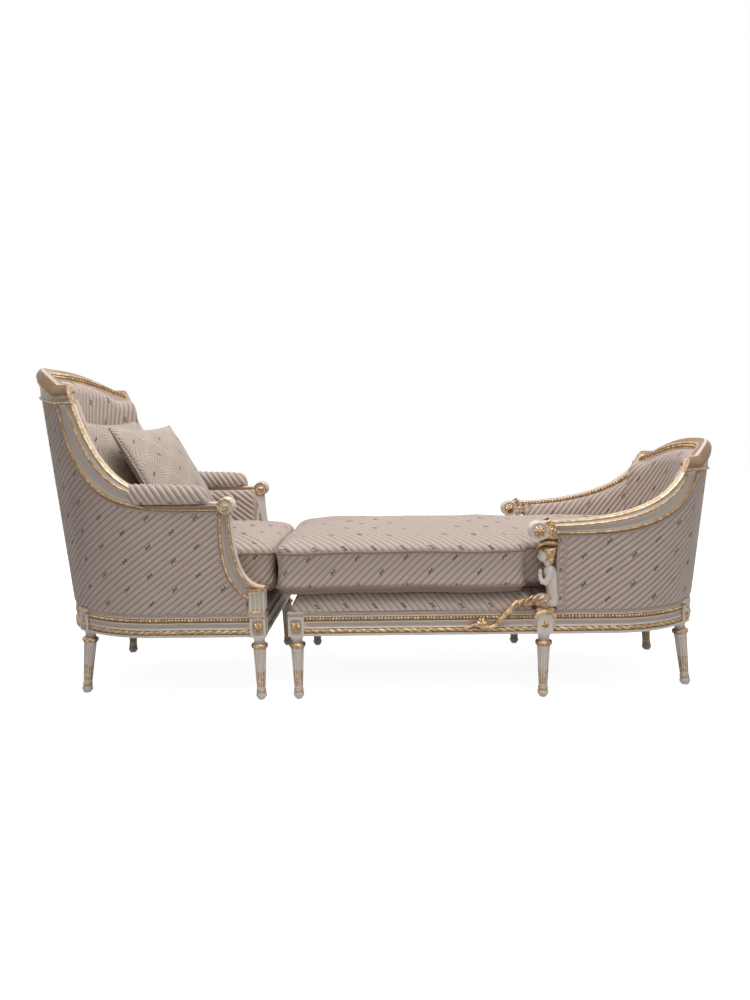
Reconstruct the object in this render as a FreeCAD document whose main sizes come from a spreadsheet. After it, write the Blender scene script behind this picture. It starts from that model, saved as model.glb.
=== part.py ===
"""Two-piece day bed in the old French manner: a bergere armchair and a six-legged foot seat, stood end to end.

Row frame: origin on the floor under the middle of the pair, +X towards the foot seat's curved back,
-Y towards the photographed side, +Z up. Millimetres.
"""
import FreeCAD
import Part
import Sketcher

import math
import os

# Driving dimensions: alias, millimetres or degrees, meaning
SIZES = [
    # what both seats share
    ("leg_height", 211, "floor to the underside of the seat rails"),
    ("leg_top_radius", 22, "leg where it leaves its block"),
    ("neck_radius", 17, "waist of the leg's neck"),
    ("neck_length", 24, "hollow neck under the block"),
    ("ring_radius", 26.5, "turned ring under the neck"),
    ("ring_length", 14, "height of that ring"),
    ("shaft_top_radius", 21, "tapered shaft, upper end"),
    ("shaft_foot_radius", 14.5, "tapered shaft, lower end"),
    ("toe_length", 36, "collar and bulb below the shaft"),
    ("toe_radius", 17.5, "bulb of the toe"),
    ("toe_sole_radius", 11, "flat sole"),
    ("rear_leg_rake", 7.5, "degrees the rear legs lean outwards"),
    ("block_side", 50, "square leg block"),
    ("rail_height", 78, "height of a seat rail and of a leg block"),
    ("rail_thickness", 50, "seat rail, outside to inside"),
    ("rail_fillet_height", 8, "bottom fillet of a rail"),
    ("rail_rope_height", 15, "rope moulding above the fillet"),
    ("rail_band_height", 24, "plain band above the rope"),
    ("rail_bead_height", 13, "row of beads above the band"),
    ("rail_step", 4, "how far the bottom fillet stands proud of the cloth"),
    ("rail_rebate", 3, "rebate that the braid lies in"),
    ("strap_width", 50, "webbing strap"),
    ("strap_thickness", 1.5, "webbing strap"),
    ("strap_pitch", 85, "from one strap to the next"),
    ("strap_landing", 30, "strap end, in from the outside of the rail"),
    ("cover_thickness", 2.5, "outside cover with its lining"),
    ("side_lean", 1.335, "degrees the arms flare"),
    ("side_wall", 52, "arm upholstery, outside to inside"),
    ("back_wall", 75, "back upholstery, outside to inside"),
    ("arm_rail_thickness", 42, "carved arm rail, outside to inside"),
    ("arm_rail_proud", 6, "arm rail beyond the cloth"),
    ("crest_proud", 10, "crest rail beyond the cloth"),
    ("pad_reveal", 12, "arm rail standing above the inside upholstery"),
    ("crest_reveal", 38, "crest rail standing above the inside upholstery"),
    ("post_width", 34, "hidden back post"),
    ("post_thickness", 24, "hidden back post"),
    ("post_offset", 168, "hidden back post from the middle line"),
    ("braid_width", 11, "braid along the edges"),
    ("braid_thickness", 1.6, "braid along the edges"),
    ("deck_height", 54, "stuffed deck above the rails"),
    ("deck_shoulder", 46, "how far the deck's edge slopes in"),
    ("dust_cover_thickness", 1, "cloth tacked under the rails"),
    ("corner_block_leg", 62, "glued corner block, along each rail"),
    ("corner_block_height", 46, "glued corner block"),
    ("screw_radius", 2.5, "wood screw"),
    ("screw_length", 55, "wood screw"),
    ("rosette_radius", 17, "carved rosette on a leg block"),
    ("rosette_height", 6, "carved rosette on a leg block"),
    ("cushion_gap", 4, "between a loose cushion and the arms"),
    ("rest_gap", 0.4, "between a loose piece and what it lies on"),
    ("welt_height", 17, "bottom welt above a cushion's underside"),
    ("cushion_pinch", 8, "how far a cushion's sides draw in"),
    ("units_gap", 71, "between the two seats' frames"),
    # armchair
    ("chair_straight", 354, "straight part of the sides, from the front"),
    ("chair_half_width", 330, "middle line to the cloth at rail height"),
    ("chair_end_depth", 365, "depth of the rounded end at rail height"),
    ("chair_back_lean", 5.33, "degrees the back leans"),
    ("chair_arm_height", 619, "underside of the arm rail"),
    ("chair_arm_rail_height", 24, "arm rail under its pad"),
    ("chair_arm_start", 156, "front of the arm rail's curve, from the front"),
    ("chair_sweep_low_pull", 0.6, "underside curve's forward handle, share of its run"),
    ("chair_sweep_low_lift", 0.99, "underside curve's upper handle, share of its rise"),
    ("chair_sweep_top_pull", 0.635, "top curve's forward handle, share of its run"),
    ("chair_sweep_top_lift", 0.31, "top curve's upper handle, share of its rise"),
    ("chair_stile_back", 662, "underside curve's upper end, from the front"),
    ("chair_stile_low", 955, "underside curve's upper end, height"),
    ("chair_pad_end", 412, "rear end of the arm pad, from the front"),
    ("chair_pad_end_rise", 57, "arm rail's top there, above its top in front"),
    ("chair_stile_front", 609, "crest corner, from the front"),
    ("chair_shoulder", 1019, "height of the crest's shoulders"),
    ("chair_crest_rise", 66, "middle of the crest above its shoulders"),
    ("chair_crest_arch", 242, "half width of the crest's arch"),
    ("chair_crest_low", 985, "crest's underside in the middle, outside"),
    ("chair_rear_angle", 43, "degrees round the end to the rear leg"),
    ("chair_scroll_u", 110, "middle of the arm scroll, from the front"),
    ("chair_scroll_rise", 14, "middle of the arm scroll above the rail's underside"),
    ("chair_scroll_radius", 27, "arm scroll"),
    ("chair_die_height", 71, "fluted die above the front leg block"),
    ("chair_cap_height", 7, "cap of that die"),
    ("chair_cap_side", 66, "cap of that die"),
    ("console_width", 42, "arm support, outside to inside"),
    ("console_top_back", 134, "arm support's rear edge at the top, from the front"),
    ("console_top_front", 100, "arm support's front edge at the top"),
    ("console_foot_rise", 26, "arm support's rear edge above the die's cap"),
    ("arm_pad_rise", 48, "arm pad above the arm rail"),
    ("arm_pad_width", 46, "arm pad"),
    ("arm_pad_front", 168, "front of the arm pad, from the front"),
    ("chair_cushion_front", 25, "how far the cushion stands out in front"),
    ("chair_cushion_welt", 465, "height of the top welt"),
    ("chair_cushion_crown", 75, "crown above the top welt"),
    ("chair_cushion_side", 275, "half width in front"),
    # foot seat
    ("foot_straight", 1025, "straight part of the sides, from the free end"),
    ("foot_half_width", 325, "middle line to the cloth at rail height"),
    ("foot_end_depth", 340, "depth of the rounded end at rail height"),
    ("foot_back_lean", 5.1, "degrees the back leans"),
    ("foot_mid_leg", 813, "middle leg, from the free end"),
    ("foot_wall_start", 848, "front edge of the arms' cloth, from the free end"),
    ("foot_arm_height", 529, "underside of the arm rail"),
    ("foot_arm_rail_height", 40, "arm rail"),
    ("foot_arm_start", 861, "front of the arm rail's curve"),
    ("foot_sweep_low_pull", 0.195, "underside curve's forward handle, share of its run"),
    ("foot_sweep_low_lift", 1.16, "underside curve's upper handle, share of its rise"),
    ("foot_sweep_top_pull", 0.47, "top curve's forward handle, share of its run"),
    ("foot_sweep_top_lift", 0.83, "top curve's upper handle, share of its rise"),
    ("foot_stile_back", 1322, "underside curve's upper end"),
    ("foot_stile_low", 712, "underside curve's upper end, height"),
    ("foot_stile_front", 1273, "crest corner, from the free end"),
    ("foot_shoulder", 759, "height of the crest's shoulders"),
    ("foot_crest_rise", 51, "middle of the crest above its shoulders"),
    ("foot_crest_arch", 208, "half width of the crest's arch"),
    ("foot_crest_low", 706, "crest's underside in the middle, outside"),
    ("foot_rear_angle", 37, "degrees round the end to the rear leg"),
    ("foot_scroll_u", 790, "middle of the arm scroll"),
    ("foot_scroll_rise", 12, "middle of the arm scroll above the rail's underside"),
    ("foot_scroll_radius", 32, "arm scroll"),
    ("foot_cushion_front", 36, "how far the cushion overhangs the free end"),
    ("foot_cushion_welt", 470, "height of the top welt"),
    ("foot_cushion_crown", 76, "crown above the top welt"),
    ("foot_cushion_side", 322, "half width in front of the arms"),
    ("foot_cushion_shoulder", 715, "where the cushion narrows, from the free end"),
    ("capital_height", 25, "gilded cap over the figure's head"),
    ("capital_width", 76, "gilded cap over the figure's head"),
    ("plinth_height", 22, "arched cap on the middle leg block"),
    ("plinth_width", 67, "arched cap on the middle leg block"),
    ("figure_depth", 38, "figure, outside to inside"),
    ("head_radius", 23, "figure's head, front to back"),
    ("tail_radius", 11, "gilded tail where it leaves the lap"),
    # loose pillows
    ("pillow_side", 400, "front pillow's width"),
    ("pillow_rise", 395, "both pillows' height along their slope"),
    ("pillow_bulge", 52, "half thickness of the front pillow"),
    ("pillow_lean", 30.5, "degrees the front pillow leans back"),
    ("pillow_turn", 13, "degrees both pillows are turned to the side"),
    ("pillow_front_x", 289, "front pillow's foot, from the chair's front"),
    ("rear_pillow_side", 350, "rear pillow's width"),
    ("rear_pillow_lean", 24, "degrees the rear pillow leans back"),
    ("rear_pillow_bulge", 46, "half thickness of the rear pillow"),
    ("rear_pillow_x", 446, "rear pillow's foot, from the chair's front"),
    ("rear_pillow_shift", 16, "rear pillow towards the far side"),
]

doc = FreeCAD.newDocument("DayBed")
sheet = doc.addObject("Spreadsheet::Sheet", "Sizes")
for row, (alias, number, meaning) in enumerate(SIZES, 1):
    sheet.set(f"A{row}", meaning)
    sheet.set(f"B{row}", str(number))
    sheet.setAlias(f"B{row}", alias)
doc.recompute()

V = FreeCAD.Vector
UP = V(0, 0, 1)
MARGIN = 5.0          # how far a cutter runs past what it cuts
FAR = 2000.0          # half size of a cutter that has to pass everything
pieces = {}


class Size:
    """A sheet value with the expression that binds a property to it."""

    def __init__(self, number, text):
        self.number = float(number)
        self.text = text

    def _join(self, other, sign, number):
        text = other.text if isinstance(other, Size) else repr(float(other))
        return Size(number, f"({self.text} {sign} {text})")

    def __add__(self, other):
        return self._join(other, "+", self.number + float(other))

    def __sub__(self, other):
        return self._join(other, "-", self.number - float(other))

    def __mul__(self, other):
        return self._join(other, "*", self.number * float(other))

    def __truediv__(self, other):
        return self._join(other, "/", self.number / float(other))

    def __neg__(self):
        return Size(-self.number, f"(-{self.text})")

    def __float__(self):
        return self.number


class Sheet:
    """Reads a cell by its alias: size.leg_height is a Size, val.leg_height a plain number."""

    def __init__(self, plain):
        self.plain = plain

    def __getattr__(self, alias):
        number = sheet.get(alias)
        return float(number) if self.plain else Size(number, f"Sizes.{alias}")


size = Sheet(False)
val = Sheet(True)


# Small helpers

def keep(node, thing):
    """Give a document object its Label and list it as a sub-part."""
    thing.Label = node
    pieces[node] = thing
    return thing


def keep_shape(node, shape):
    """A sub-part whose shape is set directly."""
    feature = doc.addObject("Part::Feature", node)
    feature.Shape = shape
    return keep(node, feature)


def bind(thing, **sizes):
    for name, amount in sizes.items():
        setattr(thing, name, float(amount))
        thing.setExpression(name, amount.text)


def origin_plane(body, role):
    return next(item for item in body.Origin.OriginFeatures if item.Role == role)


def sketch_of(body, name, corners, arcs=None):
    """Closed sketch on the body's XZ plane; each corner is a pair of Sizes, arcs gives {edge: (radius, side)}.

    Edge number i runs from corner i to the next. Side +1 puts an arc's centre to the left of its chord.
    """
    arcs = arcs or {}
    sketch = body.newObject("Sketcher::SketchObject", name)
    sketch.AttachmentSupport = (origin_plane(body, "XZ_Plane"), [""])
    sketch.MapMode = "FlatFace"
    points = [V(float(a), float(b), 0) for a, b in corners]
    ends = []
    for edge, start in enumerate(points):
        stop = points[(edge + 1) % len(points)]
        if edge in arcs:
            radius, side = arcs[edge]
            chord = stop - start
            half = chord.Length / 2
            height = math.sqrt(max(float(radius) ** 2 - half ** 2, 0))
            centre = start + chord / 2 + V(-chord.y, chord.x, 0).normalize() * height * side
            first = math.atan2(start.y - centre.y, start.x - centre.x)
            last = math.atan2(stop.y - centre.y, stop.x - centre.x)
            circle = Part.Circle(centre, V(0, 0, 1), float(radius))
            if side < 0:
                first, last = last, first
            arc = Part.ArcOfCircle(circle, first, last)
            index = sketch.addGeometry(arc, False)
            ends.append((index, 1, 2) if side > 0 else (index, 2, 1))
        else:
            index = sketch.addGeometry(Part.LineSegment(start, stop), False)
            ends.append((index, 1, 2))
    for edge, (index, first, last) in enumerate(ends):
        following = ends[(edge + 1) % len(ends)]
        sketch.addConstraint(Sketcher.Constraint("Coincident", index, last, following[0], following[1]))
    for edge, (across, along) in enumerate(corners):
        index, first, last = ends[edge]
        for kind, amount in (("DistanceX", across), ("DistanceY", along)):
            number = sketch.addConstraint(
                Sketcher.Constraint(kind, -1, 1, index, first, float(amount)))
            if isinstance(amount, Size):
                sketch.setExpression(f"Constraints[{number}]", amount.text)
    for edge, (radius, side) in arcs.items():
        number = sketch.addConstraint(Sketcher.Constraint("Radius", ends[edge][0], float(radius)))
        sketch.setExpression(f"Constraints[{number}]", radius.text)
    return sketch


def positive(shape):
    """The same solid with its faces turned outwards."""
    if shape.Volume < 0:
        shape = shape.reversed()
    return shape


def largest(shape):
    """The main solid of a boolean result, without slivers."""
    return max(shape.Solids, key=lambda item: item.Volume)


def ruled(wires):
    return positive(Part.makeLoft(wires, True, True))


def prism(wire, along):
    return positive(Part.Face(wire).extrude(along))


def one(shape):
    """Tidy a boolean result: a single solid where there is one, else a compound of its solids."""
    solids = shape.Solids
    return solids[0] if len(solids) == 1 else Part.Compound(solids)


def mirrored(shape):
    """The same piece on the other side of the middle plane."""
    return shape.mirror(V(), V(0, 1, 0))


def joined(shapes):
    first, *others = shapes
    return one(first.fuse(others).removeSplitter()) if others else first


# The plan that both seats share: straight sides that end in a half ellipse, leaning out as it rises

class Seat:
    """One of the two seats; u runs from its square end towards its rounded back."""

    def __init__(self, name, facing, front):
        self.name = name
        self.facing = facing
        self.front = front
        self.straight = getattr(val, name + "_straight")
        self.half_width = getattr(val, name + "_half_width")
        self.end_depth = getattr(val, name + "_end_depth")
        self.back_slope = math.tan(math.radians(getattr(val, name + "_back_lean")))
        self.side_slope = math.tan(math.radians(val.side_lean))
        self.rail_low = val.leg_height
        self.rail_top = val.leg_height + val.rail_height

    def at(self, u, y, z):
        return V(self.front + self.facing * u, y, z)

    def radii(self, z, end_inset, side_inset, leaning=True):
        rise = z - self.rail_top if leaning else 0
        return (self.end_depth + self.back_slope * rise - end_inset,
                self.half_width + self.side_slope * rise - side_inset)

    def half_ellipse(self, z, depth, width):
        """Exact half ellipse round the end, from the +Y side to the -Y side, as a rational curve."""
        corner = math.sqrt(0.5)
        curve = Part.BSplineCurve()
        poles = [self.at(self.straight + depth * e, width * w, z)
                 for e, w in ((0, 1), (1, 1), (1, 0), (1, -1), (0, -1))]
        curve.buildFromPolesMultsKnots(poles, [3, 2, 3], [0, 0.5, 1], False, 2, [1, corner, 1, corner, 1])
        return curve.toShape()

    def plan(self, z, inset=0, start=0, leaning=True):
        """Closed plan outline at height z; inset is one number, or a pair for the end and the sides."""
        end_inset, side_inset = inset if isinstance(inset, tuple) else (inset, inset)
        depth, width = self.radii(z, end_inset, side_inset, leaning)
        corners = [self.at(start, -width, z), self.at(start, width, z), self.at(self.straight, width, z),
                   self.at(self.straight, -width, z)]
        return Part.Wire([Part.makeLine(corners[0], corners[1]), Part.makeLine(corners[1], corners[2]),
                          self.half_ellipse(z, depth, width), Part.makeLine(corners[3], corners[0])])

    def slab(self, low, high, inset=0, start=0, leaning=True):
        """Everything inside the plan between two heights."""
        if leaning:
            return ruled([self.plan(low, inset, start), self.plan(high, inset, start)])
        return prism(self.plan(low, inset, start, False), V(0, 0, high - low))

    def wall(self, low, high, outer, inner, start=0, leaning=True):
        """U-shaped wall between two insets."""
        body = self.slab(low, high, outer, start, leaning)
        hole = self.slab(low - MARGIN, high + MARGIN, inner, start - MARGIN, leaning)
        return one(body.cut(hole))

    def side_cut(self, edges, near=-FAR, far=FAR):
        """Prism across the seat from an outline drawn in u and z; edges is a list of point lists."""
        wire = Part.Wire([curve([self.at(u, near, z) for u, z in points]) for points in edges])
        return prism(wire, V(0, far - near, 0))

    def end_cut(self, edges):
        """Prism along the seat from an outline drawn in y and z."""
        wire = Part.Wire([curve([self.at(-MARGIN, y, z) for y, z in points]) for points in edges])
        return prism(wire, V(self.facing * FAR, 0, 0))

    def end_point(self, degrees, inset=0):
        """Point and outward normal on the rounded end at rail height; a negative angle is the -Y side."""
        turn = math.radians(degrees)
        depth, width = self.end_depth, self.half_width
        normal = V(self.facing * math.cos(turn) / depth, math.sin(turn) / width, 0).normalize()
        point = self.at(self.straight + depth * math.cos(turn), width * math.sin(turn), 0)
        return point - normal * inset, normal


def curve(points):
    """Edge from its points: two make a line, four a Bezier curve, any other number a smooth spline."""
    if len(points) == 2:
        return Part.makeLine(points[0], points[1])
    if len(points) == 4:
        bezier = Part.BezierCurve()
        bezier.setPoles(points)
        return bezier.toShape()
    spline = Part.BSplineCurve()
    spline.interpolate(points)
    return spline.toShape()


chair = Seat("chair", -1, -val.units_gap / 2)
foot = Seat("foot", 1, val.units_gap / 2)
NAMES = {"chair": "armchair", "foot": "foot_seat"}
SIDES = (("near", -1), ("far", 1))


# Curves of the arms and crests, in u and z or y and z

def direction(across, up, length):
    reach = math.hypot(across, up)
    return across / reach * length, up / reach * length


def sweep(start, stop, forward, pull, upward, lift):
    """Handles of a curve from start to stop; pull is a share of its run and lift a share of its rise."""
    ahead = direction(*forward, pull * (stop[0] - start[0]))
    back = direction(*upward, lift * (stop[1] - start[1]))
    return [start, (start[0] + ahead[0], start[1] + ahead[1]), (stop[0] - back[0], stop[1] - back[1]), stop]


def chair_low_curve():
    start = (val.chair_arm_start, val.chair_arm_height)
    stop = (val.chair_stile_back, val.chair_stile_low)
    return sweep(start, stop, (1, 0), val.chair_sweep_low_pull, (0.2, 1), val.chair_sweep_low_lift)


def chair_top_curve():
    rail_top = val.chair_arm_height + val.chair_arm_rail_height
    start = (val.chair_pad_end, rail_top + val.chair_pad_end_rise)
    stop = (val.chair_stile_front, val.chair_shoulder)
    return sweep(start, stop, (1, 0.5), val.chair_sweep_top_pull, (0.25, 1), val.chair_sweep_top_lift)


def foot_low_curve():
    start = (val.foot_arm_start, val.foot_arm_height)
    stop = (val.foot_stile_back, val.foot_stile_low)
    return sweep(start, stop, (1, 0), val.foot_sweep_low_pull, (0.3, 1), val.foot_sweep_low_lift)


def foot_top_curve():
    start = (val.foot_scroll_u, val.foot_arm_height + val.foot_arm_rail_height)
    stop = (val.foot_stile_front, val.foot_shoulder)
    return sweep(start, stop, (1, 0), val.foot_sweep_top_pull, (0.3, 1), val.foot_sweep_top_lift)


def scroll_height(seat):
    """Middle of the arm scroll, which rises with the arm rail."""
    return getattr(val, seat.name + "_arm_height") + getattr(val, seat.name + "_scroll_rise")


def shifted(points, across=0.0, up=0.0):
    return [(a + across, b + up) for a, b in points]


def crest_line(seat, drop=0.0):
    """Crest's top outline across the seat: flat shoulders and an arch that falls as 1 - q to the power 3.2."""
    shoulder = getattr(val, seat.name + "_shoulder")
    rise = getattr(val, seat.name + "_crest_rise")
    arch = getattr(val, seat.name + "_crest_arch")
    fractions = (-1, -0.92, -0.8, -0.65, -0.4, 0, 0.4, 0.65, 0.8, 0.92, 1)
    middle = [(arch * q, shoulder + rise * (1 - abs(q) ** 3.2) - drop) for q in fractions]
    return [[(-FAR, shoulder - drop), middle[0]], middle, [middle[-1], (FAR, shoulder - drop)]]


def crest_under(seat):
    """Crest's lower outline outside: level at the stiles, a low arch in the middle."""
    level = getattr(val, seat.name + "_stile_low")
    middle = getattr(val, seat.name + "_crest_low")
    arch = getattr(val, seat.name + "_crest_arch")
    points = [(arch * q, level + (middle - level) * (1 - q * q)) for q in (-1, -0.5, 0, 0.5, 1)]
    return [[(-FAR, level), points[0]], points, [points[-1], (FAR, level)]]


def below(outline):
    """Close an outline that runs from -FAR to FAR downwards."""
    first, last = outline[0][0], outline[-1][-1]
    return outline + [[last, (last[0], -FAR)], [(last[0], -FAR), (first[0], -FAR)], [(first[0], -FAR), first]]


def above(outline):
    first, last = outline[0][0], outline[-1][-1]
    return outline + [[last, (last[0], FAR)], [(last[0], FAR), (first[0], FAR)], [(first[0], FAR), first]]


# Legs

def leg_body(name):
    """Turned leg on its own axis, from just below the floor to inside its block."""
    body = doc.addObject("PartDesign::Body", name)
    neck_foot = size.leg_height - size.neck_length
    ring_foot = neck_foot - size.ring_length
    toe_top = size.toe_length
    corners = [
        (Size(0, "0"), -size.toe_radius / 2),
        (size.toe_sole_radius, -size.toe_radius / 2),
        (size.toe_sole_radius, size.toe_length / 18),
        (size.shaft_foot_radius, toe_top * 0.72),
        (size.toe_radius, toe_top * 0.78),
        (size.toe_radius, toe_top * 0.92),
        (size.shaft_foot_radius, toe_top),
        (size.shaft_top_radius, ring_foot),
        (size.shaft_top_radius, neck_foot),
        (size.leg_top_radius, size.leg_height),
        (size.leg_top_radius, size.leg_height + size.rail_fillet_height),
        (Size(0, "0"), size.leg_height + size.rail_fillet_height),
    ]
    ring = size.ring_length / 2 * 1.08
    hollow = size.neck_length * 0.72
    bulb = size.toe_radius * 0.9
    # the toe is a bulb, the ring swells outwards and the neck is hollow
    arcs = {2: (bulb, 1), 7: (ring, 1), 8: (hollow, -1)}
    outline = sketch_of(body, name + "_outline", corners, arcs)
    turning = body.newObject("PartDesign::Revolution", name + "_turning")
    turning.Profile = outline
    turning.ReferenceAxis = (outline, ["V_Axis"])
    turning.Angle = 360
    body.Tip = turning
    return body


def leg(node, centre, rake_towards=None, block_turn=0.0):
    """Leg with its block; a raked one leans along rake_towards and is cut level with the floor."""
    turned = leg_body(node + "_turned")
    pivot = V(0, 0, val.leg_height)
    lean = FreeCAD.Rotation()
    if rake_towards is not None:
        lean = FreeCAD.Rotation(UP.cross(rake_towards), -val.rear_leg_rake)
    turned.Placement = FreeCAD.Placement(V(centre.x, centre.y, 0) + pivot - lean.multVec(pivot), lean)
    block = doc.addObject("Part::Box", node + "_block")
    bind(block, Length=size.block_side, Width=size.block_side, Height=size.rail_height)
    spin = FreeCAD.Rotation(UP, block_turn)
    half = V(val.block_side / 2, val.block_side / 2, 0)
    block.Placement = FreeCAD.Placement(V(centre.x, centre.y, val.leg_height) - spin.multVec(half), spin)
    whole = doc.addObject("Part::Fuse", node + "_whole")
    whole.Base, whole.Tool = turned, block
    ground = doc.addObject("Part::Box", node + "_ground")
    bind(ground, Length=size.block_side * 4, Width=size.block_side * 4, Height=size.leg_height)
    ground.Placement.Base = V(centre.x - 2 * val.block_side, centre.y - 2 * val.block_side, -val.leg_height)
    cut = doc.addObject("Part::Cut", node)
    cut.Base, cut.Tool = whole, ground
    return keep(node, cut)


BLOCK_PROUD = val.rail_step + MARGIN
leg_spots = {"chair": [], "foot": []}     # (node, centre, outward normal)


def straight_leg(seat, node, u, side):
    middle = seat.half_width + BLOCK_PROUD - val.block_side / 2
    centre = seat.at(u, side * middle, 0)
    leg(node, centre)
    leg_spots[seat.name].append((node, centre, V(0, side, 0)))


def rear_leg(seat, node, side):
    angle = getattr(val, seat.name + "_rear_angle")
    centre, normal = seat.end_point(side * angle, val.block_side / 2 - BLOCK_PROUD)
    turn = math.degrees(math.atan2(normal.y, normal.x))
    leg(node, centre, normal, turn)
    leg_spots[seat.name].append((node, centre, normal))


for side_name, side in SIDES:
    straight_leg(chair, f"armchair_front_leg_{side_name}", val.block_side / 2, side)
    rear_leg(chair, f"armchair_rear_leg_{side_name}", side)
    straight_leg(foot, f"foot_seat_end_leg_{side_name}", val.block_side / 2, side)
    straight_leg(foot, f"foot_seat_middle_leg_{side_name}", val.foot_mid_leg, side)
    rear_leg(foot, f"foot_seat_rear_leg_{side_name}", side)


def block_solid(centre, normal, inwards=0.0):
    """The space of a leg block, deeper towards the inside of the frame where asked."""
    side = val.block_side
    solid = Part.makeBox(side + inwards, side, val.rail_height, V(-side / 2 - inwards, -side / 2, val.leg_height))
    solid.rotate(V(), UP, math.degrees(math.atan2(normal.y, normal.x)))
    solid.translate(V(centre.x, centre.y, 0))
    return solid


# Seat rails: five stacked steps round the plan, cut into lengths by the leg blocks

def rail_layers():
    """(height of the layer's foot, its height, how far it stands proud of the cloth)"""
    steps = [(val.rail_fillet_height, val.rail_step), (val.rail_rope_height, val.rail_step / 2),
             (val.rail_band_height, -val.rail_step / 4), (val.rail_bead_height, val.rail_step / 4)]
    top = val.rail_height - sum(step[0] for step in steps)
    steps.append((top, -val.rail_rebate))
    layers, low = [], val.leg_height
    for height, proud in steps:
        layers.append((low, height, proud))
        low += height
    return layers


def rail_ring(seat):
    inner = val.rail_thickness
    return joined([seat.wall(low, low + height, -proud, inner, 0, False) for low, height, proud in rail_layers()])


def cut_rails(seat):
    """The ring less the leg blocks: straight lengths on each side, and the bent one behind."""
    ring = rail_ring(seat)
    ring = ring.cut([block_solid(centre, normal, val.rail_thickness) for _, centre, normal in leg_spots[seat.name]])
    behind, lengths = None, []
    for solid in ring.Solids:
        if solid.BoundBox.YMin * solid.BoundBox.YMax < 0:
            behind = solid
        elif solid.Volume > val.block_side ** 3 / 4:
            lengths.append(solid)
    lengths.sort(key=lambda item: seat.facing * (item.CenterOfMass.x - seat.front))
    return behind, lengths


def end_rail(seat, node):
    """Straight rail across the square end, with the same steps on its outer face."""
    body = doc.addObject("PartDesign::Body", node)
    heights = [size.rail_fillet_height, size.rail_rope_height, size.rail_band_height, size.rail_bead_height]
    prouds = [size.rail_step, size.rail_step / 2, -size.rail_step / 4, size.rail_step / 4]
    level = size.leg_height
    corners = [(-size.rail_thickness, size.leg_height)]
    for height, proud in zip(heights, prouds):
        corners.append((proud, level))
        level = level + height
        corners.append((proud, level))
    corners.append((-size.rail_rebate, level))
    corners.append((-size.rail_rebate, size.leg_height + size.rail_height))
    corners.append((-size.rail_thickness, size.leg_height + size.rail_height))
    outline = sketch_of(body, node + "_section", corners)
    pad = body.newObject("PartDesign::Pad", node + "_length")
    pad.Profile = outline
    pad.Midplane = True
    width = (size.chair_half_width if seat is chair else size.foot_half_width)
    span = (width + size.rail_step + MARGIN - size.block_side) * 2
    bind(pad, Length=span)
    body.Tip = pad
    # the section is drawn with its outside towards +X
    turn = FreeCAD.Rotation(UP, 180 if seat.facing > 0 else 0)
    body.Placement = FreeCAD.Placement(seat.at(MARGIN, 0, 0), turn)
    return keep(node, body)


for seat in (chair, foot):
    name = NAMES[seat.name]
    end_rail(seat, name + "_end_rail")
    behind, lengths = cut_rails(seat)
    keep_shape(name + "_back_rail", behind)
    for solid in lengths:
        side_name = "far" if solid.CenterOfMass.y > 0 else "near"
        place = "side_rail"
        if seat is foot:
            reach = foot.facing * (solid.CenterOfMass.x - foot.front)
            place = "side_rail" if reach < val.foot_mid_leg else "arm_side_rail"
        keep_shape(f"{name}_{place}_{side_name}", solid)

cross_rail = doc.addObject("Part::Box", "foot_seat_cross_rail")
bind(cross_rail, Length=size.block_side * 0.6, Width=(size.foot_half_width - size.rail_thickness) * 2,
     Height=size.rail_height - size.rail_bead_height)
cross_rail.Placement.Base = foot.at(val.foot_mid_leg - val.block_side * 0.3, -foot.half_width + val.rail_thickness,
                                    val.leg_height)
keep("foot_seat_cross_rail", cross_rail)


# Corner blocks and their screws inside the frame

def corner_fittings(seat):
    """A triangular block behind each end-leg block and its two screws, mirrored to both sides."""
    blocks, screws = [], []
    reach, tall = val.corner_block_leg, val.corner_block_height
    inner = val.rail_thickness
    low = val.leg_height + (val.rail_height - tall) / 2
    corner_u = MARGIN + inner
    corner_y = seat.half_width - inner
    for side in (-1, 1):
        points = [seat.at(corner_u, side * corner_y, low), seat.at(corner_u + reach, side * corner_y, low),
                  seat.at(corner_u, side * (corner_y - reach), low)]
        blocks.append(prism(Part.makePolygon(points + points[:1]), V(0, 0, tall)))
        for share in (0.3, 0.7):
            start = seat.at(corner_u + reach * 0.3, side * (corner_y - reach * 0.3), low + tall * share)
            towards = V(seat.facing * -1, 0, 0) if share < 0.5 else V(0, side, 0)
            screws.append(Part.makeCylinder(val.screw_radius, val.screw_length, start, towards))
    return blocks, screws


for seat in (chair, foot):
    name = NAMES[seat.name]
    blocks, screws = corner_fittings(seat)
    keep_shape(name + "_corner_blocks", Part.Compound([one(block.cut(screws)) for block in blocks]))
    keep_shape(name + "_block_screws", Part.Compound(screws))
    doc.recompute()
    for ending in ("_side_rail_near", "_side_rail_far"):
        rail = pieces[name + ending]
        rail.Shape = one(rail.Shape.cut(screws + [pieces[name + "_end_rail"].Shape]))
    bored = doc.addObject("Part::Cut", name + "_bored_end_rail")
    drill = doc.addObject("Part::Feature", name + "_screw_holes")
    drill.Shape = Part.Compound(screws)
    bored.Base, bored.Tool = pieces[name + "_end_rail"], drill
    keep(name + "_end_rail", bored)


# Webbing, deck and dust cover

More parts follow.
